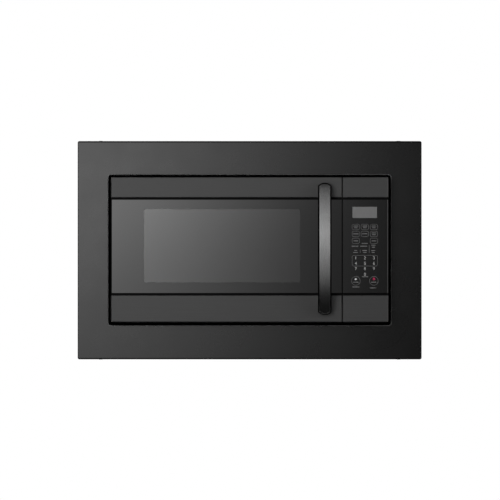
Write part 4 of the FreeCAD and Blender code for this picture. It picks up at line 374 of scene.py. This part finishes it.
def moulded_plastic(name, base, roughness, grain, gloss_level=0.5):
    """Injection moulded plastic from a spark-eroded tool: a fine even grain."""
    material, tree, place = start_material(name)
    fine = put(tree, "TexNoise", {"Vector": place, "Scale": per_mm(grain), "Detail": 2.0})
    slow = put(tree, "TexNoise", {"Vector": place, "Scale": per_mm(35), "Detail": 2.0})
    surface(tree, {
        "Base Color": put(tree, "ValToRGB", {"Fac": slow, "stops": shades(base, 0.08)}),
        "Roughness": put(tree, "MapRange", {"Value": fine, **spread(roughness - 0.06, roughness + 0.06)}),
        "Normal": put(tree, "Bump", {"Height": fine, "Strength": 0.1, "Distance": 0.02 * MM}),
        "IOR": 1.48,
        "Specular IOR Level": gloss_level,
    })
    return material


def zinc_sheet(name):
    """Hot-dip zinc on steel: spangles about 7 mm across, each with its own tone and gloss."""
    material, tree, place = start_material(name)
    spangle = put(tree, "TexVoronoi", {"Vector": place, "Scale": per_mm(7)}, "Color")
    tone = put(tree, "SeparateColor", {"Color": spangle}, "Red")
    smear = put(tree, "TexNoise", {"Vector": place, "Scale": per_mm(70), "Detail": 3.0})
    mixed = put(tree, "Mix", {"Factor": 0.6, "A": tone, "B": smear})
    surface(tree, {
        "Base Color": put(tree, "ValToRGB", {"Fac": mixed, "stops": shades(linear("#a9adb0"), 0.07)}),
        "Metallic": 0.85,
        "Roughness": put(tree, "MapRange", {"Value": tone, **spread(0.42, 0.49)}),
    })
    return material


def oven_enamel(name):
    """Light grey enamel fired on steel: a glassy coat with a fine dark fleck."""
    material, tree, place = start_material(name)
    fleck = put(tree, "TexNoise", {"Vector": place, "Scale": per_mm(1.6), "Detail": 1.0})
    stops = ((0.30, linear("#6f6d69")), (0.42, linear("#b9b6af")))
    enamel = put(tree, "ValToRGB", {"Fac": fleck, "stops": stops})
    # Painted shade: a black band on the face behind the split between door and controls
    split_shade = band(tree, place, "X", SPLIT_MIDDLE, SPLIT_SHADE_WIDTH)
    split_shaded = {"data_type": "RGBA", "Factor": split_shade, COLOUR_A: enamel, COLOUR_B: linear("#050505")}
    wave = put(tree, "TexNoise", {"Vector": place, "Scale": per_mm(14), "Detail": 1.0})
    surface(tree, {
        "Base Color": put(tree, "Mix", split_shaded, COLOUR_OUT),
        "Roughness": put(tree, "MapRange", {"Value": wave, **spread(0.28, 0.38)}),
        "Normal": put(tree, "Bump", {"Height": wave, "Strength": 0.08, "Distance": 0.05 * MM}),
        "IOR": 1.5,
        "Coat Weight": 0.25,
        "Coat Roughness": 0.15,
    })
    return material


def glass_maps(tree, place, base, node, left, right):
    """Toughened glass, black behind: a clean gloss, the faint wave that tempering leaves and ground sides
    darkened as painted shade.
    """
    ground = ground_shade_sides(tree, place, node, left, right)
    wave = put(tree, "TexNoise", {"Vector": place, "Scale": per_mm(90), "Detail": 1.0})
    film = put(tree, "TexNoise", {"Vector": place, "Scale": per_mm(4), "Detail": 3.0})
    tint = put(tree, "ValToRGB", {"Fac": film, "stops": shades(base, 0.06)})
    # Painted shade: the ground side is darkened to throw back about 1% of the light, less than bare glass, so
    # it is set as a dark metal
    painted_shade = {"data_type": "RGBA", "Factor": ground, COLOUR_A: tint, COLOUR_B: linear(PAINTED_SHADE_EDGE)}
    polished = put(tree, "Math", {"operation": "SUBTRACT", 0: 1.0, 1: ground})
    gloss = put(tree, "MapRange", {"Value": film, **spread(0.05, 0.07)})
    return {
        "Base Color": put(tree, "Mix", painted_shade, COLOUR_OUT),
        "Metallic": ground,
        "Roughness": put(tree, "Mix", {"Factor": polished, "A": 0.45, "B": gloss}),
        "Normal": put(tree, "Bump", {"Height": wave, "Strength": 0.02, "Distance": 0.05 * MM}),
        "IOR": 1.5,
    }


def control_glass(name, base):
    """The control glass: black print behind all of it."""
    material, tree, place = start_material(name)
    surface(tree, glass_maps(tree, place, base, "panel_glass", CONTROL_GROUND_SHADE, CONTROL_GROUND_SHADE))
    return material


def door_glass(name, base, film):
    """The door's glass: black print behind all of it but the window, which has a smoky mirror film."""
    material, tree, place = start_material(name)
    maps = glass_maps(tree, place, base, "door_glass", DOOR_GROUND_SHADE_LEFT, DOOR_GROUND_SHADE_RIGHT)
    window = inside_box(tree, place, "window_screen", -SCREEN_MARGIN, WINDOW_CORNER)
    filmed = {"data_type": "RGBA", "Factor": window, COLOUR_A: maps["Base Color"], COLOUR_B: film}
    surface(tree, {
        **maps,
        "Base Color": put(tree, "Mix", filmed, COLOUR_OUT),
        "Metallic": put(tree, "Math", {"operation": "MAXIMUM", 0: maps["Metallic"], 1: window}),
        "Alpha": put(tree, "Mix", {"Factor": window, "A": 1.0, "B": 0.6}),
    })
    return material


def tray_glass(name):
    """Pressed clear soda glass, slightly green, with soft ripples from the mould."""
    material, tree, place = start_material(name)
    ripple = put(tree, "TexNoise", {"Vector": place, "Scale": per_mm(22), "Detail": 2.0})
    surface(tree, {
        "Base Color": put(tree, "ValToRGB", {"Fac": ripple, "stops": shades(linear("#c9d6d1"), 0.05)}),
        "Roughness": put(tree, "MapRange", {"Value": ripple, **spread(0.05, 0.12)}),
        "Normal": put(tree, "Bump", {"Height": ripple, "Strength": 0.1, "Distance": 0.2 * MM}),
        "IOR": 1.5,
        "Alpha": 0.3,
        "Specular IOR Level": 0.8,
    })
    return material


def clear_film(name):
    """Clear polyester film over the screen, with faint drawing lines."""
    material, tree, place = start_material(name)
    # Lines about 50 mm long and 1.4 mm apart, coarser than real ones
    drawn = put(tree, "Mapping", {"Vector": place, "Scale": (20, 20, 700)})
    lines = put(tree, "TexNoise", {"Vector": drawn, "Scale": 1.0})
    surface(tree, {
        "Base Color": put(tree, "ValToRGB", {"Fac": lines, "stops": shades(linear("#8f9494"), 0.05)}),
        "Roughness": put(tree, "MapRange", {"Value": lines, **spread(0.12, 0.2)}),
        "IOR": 1.57,
        "Alpha": 0.22,
    })
    return material


def perforated_sheet(name, base):
    """Gloss black sheet with rows of punched holes, drawn 3 mm apart, a little coarser than the real ones."""
    material, tree, place = start_material(name)
    holes = put(tree, "TexVoronoi", {"Vector": place, "Scale": per_mm(3), "Randomness": 0.0})
    stops = ((0.26, linear("#040404")), (0.34, base))
    surface(tree, {
        "Base Color": put(tree, "ValToRGB", {"Fac": holes, "stops": stops}),
        "Roughness": 0.1,
        "Specular IOR Level": 0.96,
    })
    return material


def mica_sheet(name):
    """Pressed mica flakes: pearly patches in a pale brown sheet."""
    material, tree, place = start_material(name)
    flakes = put(tree, "TexVoronoi", {"Vector": place, "Scale": per_mm(5)}, "Color")
    tone = put(tree, "SeparateColor", {"Color": flakes}, "Green")
    surface(tree, {
        "Base Color": put(tree, "ValToRGB", {"Fac": tone, "stops": shades(linear("#b3a88f"), 0.14)}),
        "Roughness": 0.5,
        "Normal": put(tree, "Bump", {"Height": tone, "Strength": 0.1, "Distance": 0.1 * MM}),
    })
    return material


def layered(name, base, metallic, roughness, lines):
    """Stacked laminations or wound wire: fine parallel lines, so many per metre along each axis."""
    material, tree, place = start_material(name)
    along = put(tree, "Mapping", {"Vector": place, "Scale": lines})
    waves = put(tree, "TexNoise", {"Vector": along, "Scale": 1.0, "Detail": 1.0})
    surface(tree, {
        "Base Color": put(tree, "ValToRGB", {"Fac": waves, "stops": shades(base, 0.3)}),
        "Metallic": metallic,
        "Roughness": roughness,
        "Normal": put(tree, "Bump", {"Height": waves, "Strength": 0.3, "Distance": 0.2 * MM}),
    })
    return material


def circuit_board(name):
    """Glass fibre board under green resist, with copper tracks that show as paler lines."""
    material, tree, place = start_material(name)
    upright = put(tree, "Mapping", {"Vector": place, "Rotation": UPRIGHT})
    tracks = put(tree, "TexBrick", {
        "Vector": upright,
        "Scale": per_mm(18),
        "Mortar Size": 0.02,
        "Color1": linear("#12532b"),
        "Color2": linear("#0f4a26"),
        "Mortar": linear("#4b8a4a"),
    })
    surface(tree, {"Base Color": tracks, "Roughness": 0.4})
    return material


def screen_ink(name, base):
    """Screen printed ink: matt, with the mesh's faint mottle."""
    material, tree, place = start_material(name)
    mottle = put(tree, "TexNoise", {"Vector": place, "Scale": per_mm(0.8), "Detail": 2.0})
    surface(tree, {
        "Base Color": put(tree, "ValToRGB", {"Fac": mottle, "stops": shades(base, 0.05)}),
        "Roughness": put(tree, "MapRange", {"Value": mottle, **spread(0.5, 0.62)}),
        "IOR": 1.45,
    })
    return material


def display_lens(name, base):
    """Smoked display lens with a polarising sheet behind: flat grey with faint fine upright lines."""
    material, tree, place = start_material(name)
    # Lines about 17 mm long and 1.1 mm apart, coarser than real ones
    drawn = put(tree, "Mapping", {"Vector": place, "Scale": (900, 1, 60)})
    lines = put(tree, "TexNoise", {"Vector": drawn, "Scale": 1.0})
    surface(tree, {
        "Base Color": put(tree, "ValToRGB", {"Fac": lines, "stops": shades(base, 0.04)}),
        "Roughness": put(tree, "MapRange", {"Value": lines, **spread(0.3, 0.4)}),
        "IOR": 1.49,
    })
    return material


def build_finishes(colours):
    """The finish of each material slot."""
    return {
        "trim_black": coated_steel("satin_black_powder_coat", colours.trim, colours.trim_bend_highlight, 0.28, 1.4),
        "strip_black_steel": strip_steel("brushed_black_stainless", colours.strip),
        "handle_black_steel": handle_steel("brushed_dark_stainless", colours.handle, colours.handle_coat_and_top_shade),
        "glass_black": door_glass("printed_door_glass", colours.glass, colours.window),
        "glass_control": control_glass("black_backed_glass", colours.control_glass),
        "glass_clear": tray_glass("pressed_tray_glass"),
        "plastic_black": moulded_plastic("black_moulded_plastic", colours.moulding, 0.75, 1.0, 0.12),
        # Painted shade: the gap's baffle has a near-black dead matt finish that stands in for the shade deep
        # in the gap round the door
        "baffle_black": moulded_plastic("gap_shade_matt_black", linear("#030303"), 0.95, 1.5, 0.05),
        "galvanised": zinc_sheet("zinc_coated_sheet"),
        "cavity_enamel": oven_enamel("grey_oven_enamel"),
        "screen_black": perforated_sheet("perforated_screen", colours.screen),
        "film_clear": clear_film("clear_polyester_film"),
        "mica": mica_sheet("pressed_mica"),
        # Laminations lie in planes across Y, about 0.7 mm each, drawn at 2 mm
        "core_steel": layered("varnished_laminations", linear("#2c2a29"), 0.6, 0.5, (5, 500, 5)),
        # Turns of wire about 1.5 mm across
        "copper": layered("enamelled_copper_wire", linear("#a4572c"), 0.9, 0.35, (20, 660, 20)),
        # Strokes run along X on the aluminium, 2 mm apart, and along Z on the steel, 2.5 mm apart
        "aluminium": brushed_metal("rolled_aluminium", linear("#c6c8ca"), 0.4, (12, 500, 500)),
        "steel": brushed_metal("bright_zinc_steel", linear("#b9babb"), 0.3, (400, 400, 60)),
        "plastic_white": moulded_plastic("white_moulded_plastic", linear("#d3d2cd"), 0.45, 1.2),
        "plastic_grey": display_lens("smoked_display_lens", colours.display),
        "board_green": circuit_board("green_circuit_board"),
        "rubber": moulded_plastic("black_rubber", linear("#0c0c0c"), 0.8, 0.8),
    }


def paint(piece, material):
    """Give a piece one material."""
    piece.data.materials.clear()
    piece.data.materials.append(material)


# Modelling helpers

# Sides of a printed disc, and how much thicker the ink is than it stands off the glass, so that no gap shows
DISC_SIDES = 40
INK_DEPTH = 1.5


def deselect():
    """Select nothing, so that the next operator acts on what it adds."""
    bpy.ops.object.select_all(action="DESELECT")


def pick(piece):
    """Select one piece alone."""
    deselect()
    piece.select_set(True)
    bpy.context.view_layer.objects.active = piece


def apply_place():
    """Move the selected piece's place, turn and scale into its mesh."""
    bpy.ops.object.transform_apply(location=True, rotation=True, scale=True)


def edit_all():
    """Start edit mode with everything selected."""
    bpy.ops.object.mode_set(mode="EDIT")
    bpy.ops.mesh.select_all(action="SELECT")


def end_edit():
    """Go back to object mode."""
    bpy.ops.object.mode_set(mode="OBJECT")


def flat_plate(name, left, low, right, high, radius, segments=5):
    """An upright flat plate that faces -Y, with rounded corners."""
    deselect()
    middle = ((left + right) / 2, 0, (low + high) / 2)
    bpy.ops.mesh.primitive_plane_add(size=1, location=middle, rotation=UPRIGHT)
    plate = bpy.context.object
    plate.name = name
    plate.scale = (right - left, high - low, 1)
    apply_place()
    if radius:
        edit_all()
        bpy.ops.mesh.bevel(offset=radius, offset_type="OFFSET", segments=segments, affect="VERTICES")
        end_edit()
    return plate


def hollow_plate(plate, width):
    """Leave only a line of that width along a plate's edge."""
    edit_all()
    bpy.ops.mesh.inset(thickness=width, depth=0)
    bpy.ops.mesh.delete(type="FACE")
    end_edit()
    return plate


def flat_disc(name, x, z, radius):
    """An upright disc that faces -Y."""
    deselect()
    bpy.ops.mesh.primitive_circle_add(
        vertices=DISC_SIDES, radius=radius, fill_type="NGON", location=(x, 0, z), rotation=UPRIGHT
    )
    disc = bpy.context.object
    disc.name = name
    apply_place()
    return disc


def copy_piece(piece, dx, dz):
    """A copy with its own mesh, moved in the front plane."""
    pick(piece)
    bpy.ops.object.duplicate(linked=False)
    copy = bpy.context.object
    copy.location.x += dx
    copy.location.z += dz
    apply_place()
    return copy


def join_pieces(name, parts):
    """One piece from several."""
    pick(parts[0])
    for part in parts[1:]:
        part.select_set(True)
    bpy.ops.object.join()
    whole = bpy.context.object
    whole.name = name
    whole.data.name = name
    return whole


def ink_on_glass(piece, rise):
    """Set a flat print on the control glass and give it its thickness."""
    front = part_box("panel_glass")[0].y
    pick(piece)
    piece.location.y = front - rise
    apply_place()
    wall = piece.modifiers.new("ink", "SOLIDIFY")
    wall.thickness = rise * INK_DEPTH
    wall.offset = -1.0
    bpy.ops.object.modifier_apply(modifier=wall.name)
    edit_all()
    bpy.ops.mesh.normals_make_consistent(inside=False)
    end_edit()
    return piece


def finish_piece(piece, body, material):
    """Material, slot and body of a new piece."""
    paint(piece, material)
    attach(piece, body)


class OVEN_OT_finishes(bpy.types.Operator):
    """Give every solid of the oven its finish"""

    bl_idname = "oven.finishes"
    bl_label = "Finishes"

    def execute(self, context):
        finishes = build_finishes(context.scene.oven_colours)
        for entry in frame["record"]["subparts"]:
            paint(NODES[entry["node"]], finishes[entry["material_slot"]])
        return {"FINISHED"}


# The latch spring's wire, its turns, and how finely they are drawn
SPRING_WIRE_RADIUS = 0.45 * MM
SPRING_WIRE_SIDES = 12
SPRING_TURNS = 8
SPRING_STEPS = 28
SPRING_SMOOTHING = math.radians(50)


class OVEN_OT_latch_spring(bpy.types.Operator):
    """Wind the latch's spring at one length; the real one shortens as the latch lifts, its lower end going up
    with the slider
    """

    bl_idname = "oven.latch_spring"
    bl_label = "Latch spring"

    def execute(self, context):
        low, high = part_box("latch_spring")
        axis = (low + high) / 2
        coil_radius = (high.x - low.x) / 2 - SPRING_WIRE_RADIUS
        deselect()
        bpy.ops.mesh.primitive_circle_add(
            vertices=SPRING_WIRE_SIDES,
            radius=SPRING_WIRE_RADIUS,
            location=(coil_radius, 0, 0),
            rotation=UPRIGHT,
        )
        spring = bpy.context.object
        spring.name = "wound_latch_spring"
        apply_place()
        coil = spring.modifiers.new("coil", "SCREW")
        coil.angle = 2 * math.pi * SPRING_TURNS
        coil.screw_offset = high.z - low.z - 2 * SPRING_WIRE_RADIUS
        coil.steps = SPRING_STEPS * SPRING_TURNS
        coil.render_steps = coil.steps
        bpy.ops.object.modifier_apply(modifier=coil.name)
        edit_all()
        bpy.ops.mesh.fill_holes(sides=0)
        bpy.ops.mesh.select_all(action="SELECT")
        bpy.ops.mesh.normals_make_consistent(inside=False)
        end_edit()
        bpy.ops.object.shade_smooth_by_angle(angle=SPRING_SMOOTHING)
        spring.location = (axis.x, axis.y, low.z + SPRING_WIRE_RADIUS)
        apply_place()
        paint(spring, bpy.data.materials["bright_zinc_steel"])
        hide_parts("latch_spring")
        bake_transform(spring)
        return {"FINISHED"}


# Places of the prints, in millimetres from the model's origin
COLUMNS = (233.0, 252.9, 272.7)
TOP_ROW = 267.0
DIGIT_ROWS = (198.6, 186.6, 175.2, 162.9)
ROUND_KEY_ROW = 148.7
LIGHT_MARK = (232.9, 152.6)
RED_MARK = (272.6, 152.8)
# The outlined keys are three rows of three. The first is copied, and one place has no outline.
KEY_ROWS = 3
FIRST_KEY = (0, 0)
PLAIN_KEY = (2, 1)
# Caption bars: left, right and height of the middle
KEY_BARS = (
    (227.8, 238.2, 268.9), (229.0, 237.0, 265.2),
    (247.7, 258.1, 268.9), (248.9, 256.9, 265.2),
    (267.5, 277.9, 268.9), (268.7, 276.7, 265.2),
    (227.2, 238.8, 252.0), (247.3, 258.5, 252.0),
    (267.5, 277.9, 253.8), (268.7, 276.7, 250.0),
    (228.0, 238.0, 236.4), (267.7, 277.7, 236.4),
)
LOOSE_BARS = (
    (245.8, 259.4, 230.9), (224.0, 238.4, 224.8), (242.8, 258.0, 224.8),
    (267.1, 276.3, 227.0), (268.1, 275.3, 222.6),
    (229.9, 236.0, 215.4), (227.3, 237.8, 211.2),
    (247.3, 257.4, 215.4), (248.4, 256.4, 211.2),
    (267.1, 275.7, 215.4), (267.9, 274.9, 211.2),
    (246.0, 259.8, 157.7),
    (226.5, 238.9, 145.8), (266.3, 277.3, 145.8),
    (225.6, 240.9, 135.3), (263.7, 278.3, 133.1),
)
# Upright lines between captions: place, lower and upper end
TICKS = ((242.8, 210.4, 217.2), (262.4, 210.4, 227.4))
# The box round the digits: left, lower, right and upper side
DIGIT_BOX = (224.6, 180.8, 281.0, 205.1)
# Corner radii of the digit box and the display's lens, and a bar's corner as a share of half its height
DIGIT_BOX_CORNER = 4 * MM
LENS_CORNER = 0.6 * MM
BAR_ROUNDING = 0.9
BAR_CORNER_STEPS = 3
DIGIT_CURVE_STEPS = 4


class OVEN_OT_display(bpy.types.Operator):
    """Add the display's lens"""

    bl_idname = "oven.display"
    bl_label = "Display lens"

    def execute(self, context):
        low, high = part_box("display_module")
        lens = flat_plate("display_window", low.x, low.z, high.x, high.z, LENS_CORNER)
        ink_on_glass(lens, context.scene.oven_prints.ink_rise)
        finish_piece(lens, "oven", bpy.data.materials["smoked_display_lens"])
        return {"FINISHED"}


class OVEN_OT_key_outlines(bpy.types.Operator):
    """Print the outlined keys, the digit box, the two round keys and the lines between captions"""

    bl_idname = "oven.key_outlines"
    bl_label = "Key outlines"

    def execute(self, context):
        sizes = context.scene.oven_prints
        left = COLUMNS[0] * MM - sizes.key_width / 2
        low = TOP_ROW * MM - sizes.key_height / 2
        first = flat_plate("key", left, low, left + sizes.key_width, low + sizes.key_height, sizes.key_radius)
        hollow_plate(first, sizes.line_width)
        parts = [first]
        for row in range(KEY_ROWS):
            for column in range(len(COLUMNS)):
                if (row, column) in (FIRST_KEY, PLAIN_KEY):
                    continue
                parts.append(copy_piece(first, column * sizes.column_pitch, -row * sizes.row_pitch))
        left, low, right, high = (value * MM for value in DIGIT_BOX)
        box = flat_plate("digit_box", left, low, right, high, DIGIT_BOX_CORNER)
        parts.append(hollow_plate(box, sizes.line_width))
        for x in (COLUMNS[0], COLUMNS[2]):
            ring = flat_disc("round_key", x * MM, ROUND_KEY_ROW * MM, sizes.round_key_radius)
            parts.append(hollow_plate(ring, sizes.line_width))
        half = sizes.line_width / 2
        for x, low, high in TICKS:
            parts.append(flat_plate("tick", x * MM - half, low * MM, x * MM + half, high * MM, 0))
        outlines = ink_on_glass(join_pieces("key_outlines", parts), sizes.ink_rise)
        ink = screen_ink("dark_grey_ink", context.scene.oven_colours.outline)
        finish_piece(outlines, "oven", ink)
        return {"FINISHED"}


class OVEN_OT_key_captions(bpy.types.Operator):
    """Print plain bars where the keys carry captions"""

    bl_idname = "oven.key_captions"
    bl_label = "Caption bars"

    def execute(self, context):
        sizes = context.scene.oven_prints
        half = sizes.bar_height / 2
        corner = half * BAR_ROUNDING
        parts = []
        for left, right, z in KEY_BARS + LOOSE_BARS:
            bar = flat_plate(
                "bar", left * MM, z * MM - half, right * MM, z * MM + half, corner, BAR_CORNER_STEPS
            )
            parts.append(bar)
        captions = ink_on_glass(join_pieces("key_captions", parts), sizes.ink_rise)
        ink = screen_ink("mid_grey_ink", context.scene.oven_colours.caption)
        finish_piece(captions, "oven", ink)
        return {"FINISHED"}


class OVEN_OT_digits(bpy.types.Operator):
    """Print the digits of the number pad"""

    bl_idname = "oven.digits"
    bl_label = "Digits"

    def execute(self, context):
        sizes = context.scene.oven_prints
        places = {"0": (COLUMNS[1], DIGIT_ROWS[3])}
        for number in range(9):
            places[str(number + 1)] = (COLUMNS[number % 3], DIGIT_ROWS[number // 3])
        parts = []
        for digit, (x, z) in places.items():
            deselect()
            bpy.ops.object.text_add(location=(x * MM, 0, z * MM), rotation=UPRIGHT)
            text = bpy.context.object
            text.data.body = digit
            text.data.size = sizes.digit_height
            text.data.align_x = "CENTER"
            text.data.align_y = "CENTER"
            text.data.resolution_u = DIGIT_CURVE_STEPS
            bpy.ops.object.convert(target="MESH")
            apply_place()
            parts.append(bpy.context.object)
        digits = ink_on_glass(join_pieces("key_digits", parts), sizes.ink_rise)
        ink = screen_ink("light_grey_ink", context.scene.oven_colours.digit)
        finish_piece(digits, "oven", ink)
        return {"FINISHED"}


class OVEN_OT_key_marks(bpy.types.Operator):
    """Print the light and the red mark on the round keys"""

    bl_idname = "oven.key_marks"
    bl_label = "Key marks"

    def execute(self, context):
        sizes = context.scene.oven_prints
        colours = context.scene.oven_colours
        light = flat_disc("light_mark", LIGHT_MARK[0] * MM, LIGHT_MARK[1] * MM, sizes.light_dot_radius)
        ink_on_glass(light, sizes.ink_rise)
        finish_piece(light, "oven", screen_ink("white_ink", colours.light_mark))
        red = flat_disc("red_mark", RED_MARK[0] * MM, RED_MARK[1] * MM, sizes.red_dot_radius)
        ink_on_glass(red, sizes.ink_rise)
        finish_piece(red, "oven", screen_ink("red_ink", colours.red_mark))
        return {"FINISHED"}


# Studio, in metres

# Soft lights on the tent's cloth: middle, tilt about Y, half sizes and brightness
WIDE_GLOW = ((-0.535, -1.4, 0.506), 0.05, (0.546, 0.25, 0.764), 3.42)
BRIGHT_CORE = ((-0.368, -1.4, 0.332), 1.25, (0.15, 0.25, 0.442), 0.89)
SIDE_LIGHT = ((1.8, -0.8, 0.5), 0.0, (0.3, 0.5, 0.7), 5.0)
# The flag's soft edge, and the glow that it leaves
FLAG_LOW = -0.75
FLAG_HIGH = -0.25
FAINT_GLOW = 0.011
TENT_MIDDLE = (0, -0.62, 0.3)
TENT_SIZE = (3.6, 1.56, 2.9)
FLOOR_SIZE = 14
FLOOR_PLACE = (0, 0, -1.2)
# The share of pure white in the floor as the camera sees it, and the room's light on the object
FLOOR_WHITE = 0.9
ROOM_LIGHT = 0.7
# The camera, and what its view spans at the trim's front
CAMERA_DISTANCE = 25.0
CAMERA_PLACE = (0.0008, -CAMERA_DISTANCE, 0.2164)
CAMERA_REACH = 200.0
SENSOR_WIDTH = 36.0
TRIM_DEPTH = 12 * MM
VIEW_WIDTH = 1.099


def soft_spot(tree, place, middle, tilt, size, peak):
    """Brightness of a soft oval light on the tent's cloth, brightest in its middle and tilted about Y."""
    oval = {"vector_type": "TEXTURE", "Location": middle, "Rotation": (0, tilt, 0), "Scale": size}
    centred = put(tree, "Mapping", {"Vector": place, **oval})
    reach = put(tree, "VectorMath", {"operation": "DOT_PRODUCT", 0: centred, 1: centred}, "Value")
    fall = put(tree, "Math", {"operation": "MULTIPLY", 0: reach, 1: -1.0})
    glow = put(tree, "Math", {"operation": "EXPONENT", 0: fall})
    return put(tree, "Math", {"operation": "MULTIPLY", 0: glow, 1: peak})


def tent_material():
    """Dark cloth tent: a wide glow in front, up and to the left, with a brighter core, and a side light."""
    material, tree, place = start_material("studio_tent")
    level = soft_spot(tree, place, *WIDE_GLOW)
    for spot in (BRIGHT_CORE, SIDE_LIGHT):
        level = put(tree, "Math", {"operation": "ADD", 0: level, 1: soft_spot(tree, place, *spot)})
    # A flag shades the cloth below the oven, and leaves it a faint even glow
    height = put(tree, "SeparateXYZ", {"Vector": place}, "Z")
    soft_edge = {"interpolation_type": "SMOOTHSTEP", "From Min": FLAG_LOW, "From Max": FLAG_HIGH}
    shade = put(tree, "MapRange", {"Value": height, **soft_edge})
    lit = put(tree, "Math", {"operation": "MULTIPLY_ADD", 0: level, 1: shade, 2: FAINT_GLOW})
    put(tree, "OutputMaterial", {"Surface": put(tree, "Emission", {"Strength": lit})})
    return material


def seen_white(tree):
    """1 for the rays that should see a white background."""
    rays = put(tree, "LightPath").node.outputs
    seen = put(tree, "Math", {"operation": "MAXIMUM", 0: rays["Is Camera Ray"], 1: rays["Is Glossy Ray"]})
    return put(tree, "Math", {"operation": "MAXIMUM", 0: seen, 1: rays["Is Transmission Ray"]})


def floor_material(base):
    """Matt white paint: nine tenths pure white to the camera, one tenth as lit, which keeps the shadow."""
    material, tree, place = start_material("white_floor")
    grain = put(tree, "TexNoise", {"Vector": place, "Scale": per_mm(300)})
    tint = put(tree, "ValToRGB", {"Fac": grain, "stops": shades(base, 0.01)})
    matt = put(tree, "BsdfPrincipled", {"Base Color": tint, "Roughness": 0.9})
    white = put(tree, "Emission", {"Strength": 1.0})
    share = put(tree, "Math", {"operation": "MULTIPLY", 0: seen_white(tree), 1: FLOOR_WHITE})
    put(tree, "OutputMaterial", {"Surface": put(tree, "MixShader", {"Fac": share, 1: matt, 2: white})})
    return material


class OVEN_OT_stage(bpy.types.Operator):
    """Build the floor, the light tent, the world and the camera"""

    bl_idname = "oven.stage"
    bl_label = "Studio"

    def execute(self, context):
        scene = context.scene
        scene.view_settings.view_transform = "Standard"
        deselect()
        bpy.ops.mesh.primitive_plane_add(size=FLOOR_SIZE, location=FLOOR_PLACE)
        floor = bpy.context.object
        floor.name = "floor"
        paint(floor, floor_material(scene.oven_colours.floor))

        deselect()
        bpy.ops.mesh.primitive_cube_add(size=1, location=TENT_MIDDLE)
        tent = bpy.context.object
        tent.name = "light_tent"
        tent.scale = TENT_SIZE
        apply_place()
        bpy.ops.object.mode_set(mode="EDIT")
        bpy.ops.mesh.select_all(action="DESELECT")
        end_edit()
        # The tent is open at its back
        for polygon in tent.data.polygons:
            polygon.select = polygon.normal.y > 0.5
        bpy.ops.object.mode_set(mode="EDIT")
        bpy.ops.mesh.delete(type="FACE")
        end_edit()
        tent.visible_camera = False
        paint(tent, tent_material())

        world = bpy.data.worlds.new("white_room")
        scene.world = world
        world.use_nodes = True
        tree = world.node_tree
        tree.nodes.clear()
        strength = put(tree, "MapRange", {"Value": seen_white(tree), "To Min": ROOM_LIGHT, "To Max": 1.0})
        sky = put(tree, "Background", {"Color": (1, 1, 1, 1), "Strength": strength})
        put(tree, "OutputWorld", {"Surface": sky})

        deselect()
        bpy.ops.object.camera_add(location=CAMERA_PLACE, rotation=UPRIGHT)
        camera = bpy.context.object
        camera.data.sensor_width = SENSOR_WIDTH
        camera.data.lens = SENSOR_WIDTH * (CAMERA_DISTANCE - TRIM_DEPTH) / VIEW_WIDTH
        camera.data.clip_end = CAMERA_REACH
        scene.camera = camera
        return {"FINISHED"}


class OVEN_PT_looks(bpy.types.Panel):
    """Settings and steps of the oven's looks"""

    bl_idname = "OVEN_PT_looks"
    bl_label = "Microwave looks"
    bl_space_type = "VIEW_3D"
    bl_region_type = "UI"
    bl_category = "Microwave"

    def draw(self, context):
        for group in (context.scene.oven_prints, context.scene.oven_colours):
            for name in group.__annotations__:
                self.layout.prop(group, name)
        for operator in OPERATORS:
            self.layout.operator(operator.bl_idname)


OPERATORS = (
    OVEN_OT_finishes,
    OVEN_OT_latch_spring,
    OVEN_OT_display,
    OVEN_OT_key_outlines,
    OVEN_OT_key_captions,
    OVEN_OT_digits,
    OVEN_OT_key_marks,
    OVEN_OT_stage,
)
CLASSES = (PanelPrintSizes, FinishColours, *OPERATORS, OVEN_PT_looks)


def register():
    """Make the settings, the steps and the panel known to Blender."""
    for item in CLASSES:
        bpy.utils.register_class(item)
    bpy.types.Scene.oven_prints = PointerProperty(type=PanelPrintSizes)
    bpy.types.Scene.oven_colours = PointerProperty(type=FinishColours)


def unregister():
    """Take them out again."""
    del bpy.types.Scene.oven_colours
    del bpy.types.Scene.oven_prints
    for item in reversed(CLASSES):
        bpy.utils.unregister_class(item)


def main():
    """Run all steps in order."""
    register()
    bpy.ops.oven.finishes()
    bpy.ops.oven.latch_spring()
    bpy.ops.oven.display()
    bpy.ops.oven.key_outlines()
    bpy.ops.oven.key_captions()
    bpy.ops.oven.digits()
    bpy.ops.oven.key_marks()
    bpy.ops.oven.stage()


if __name__ == "__main__":
    main()
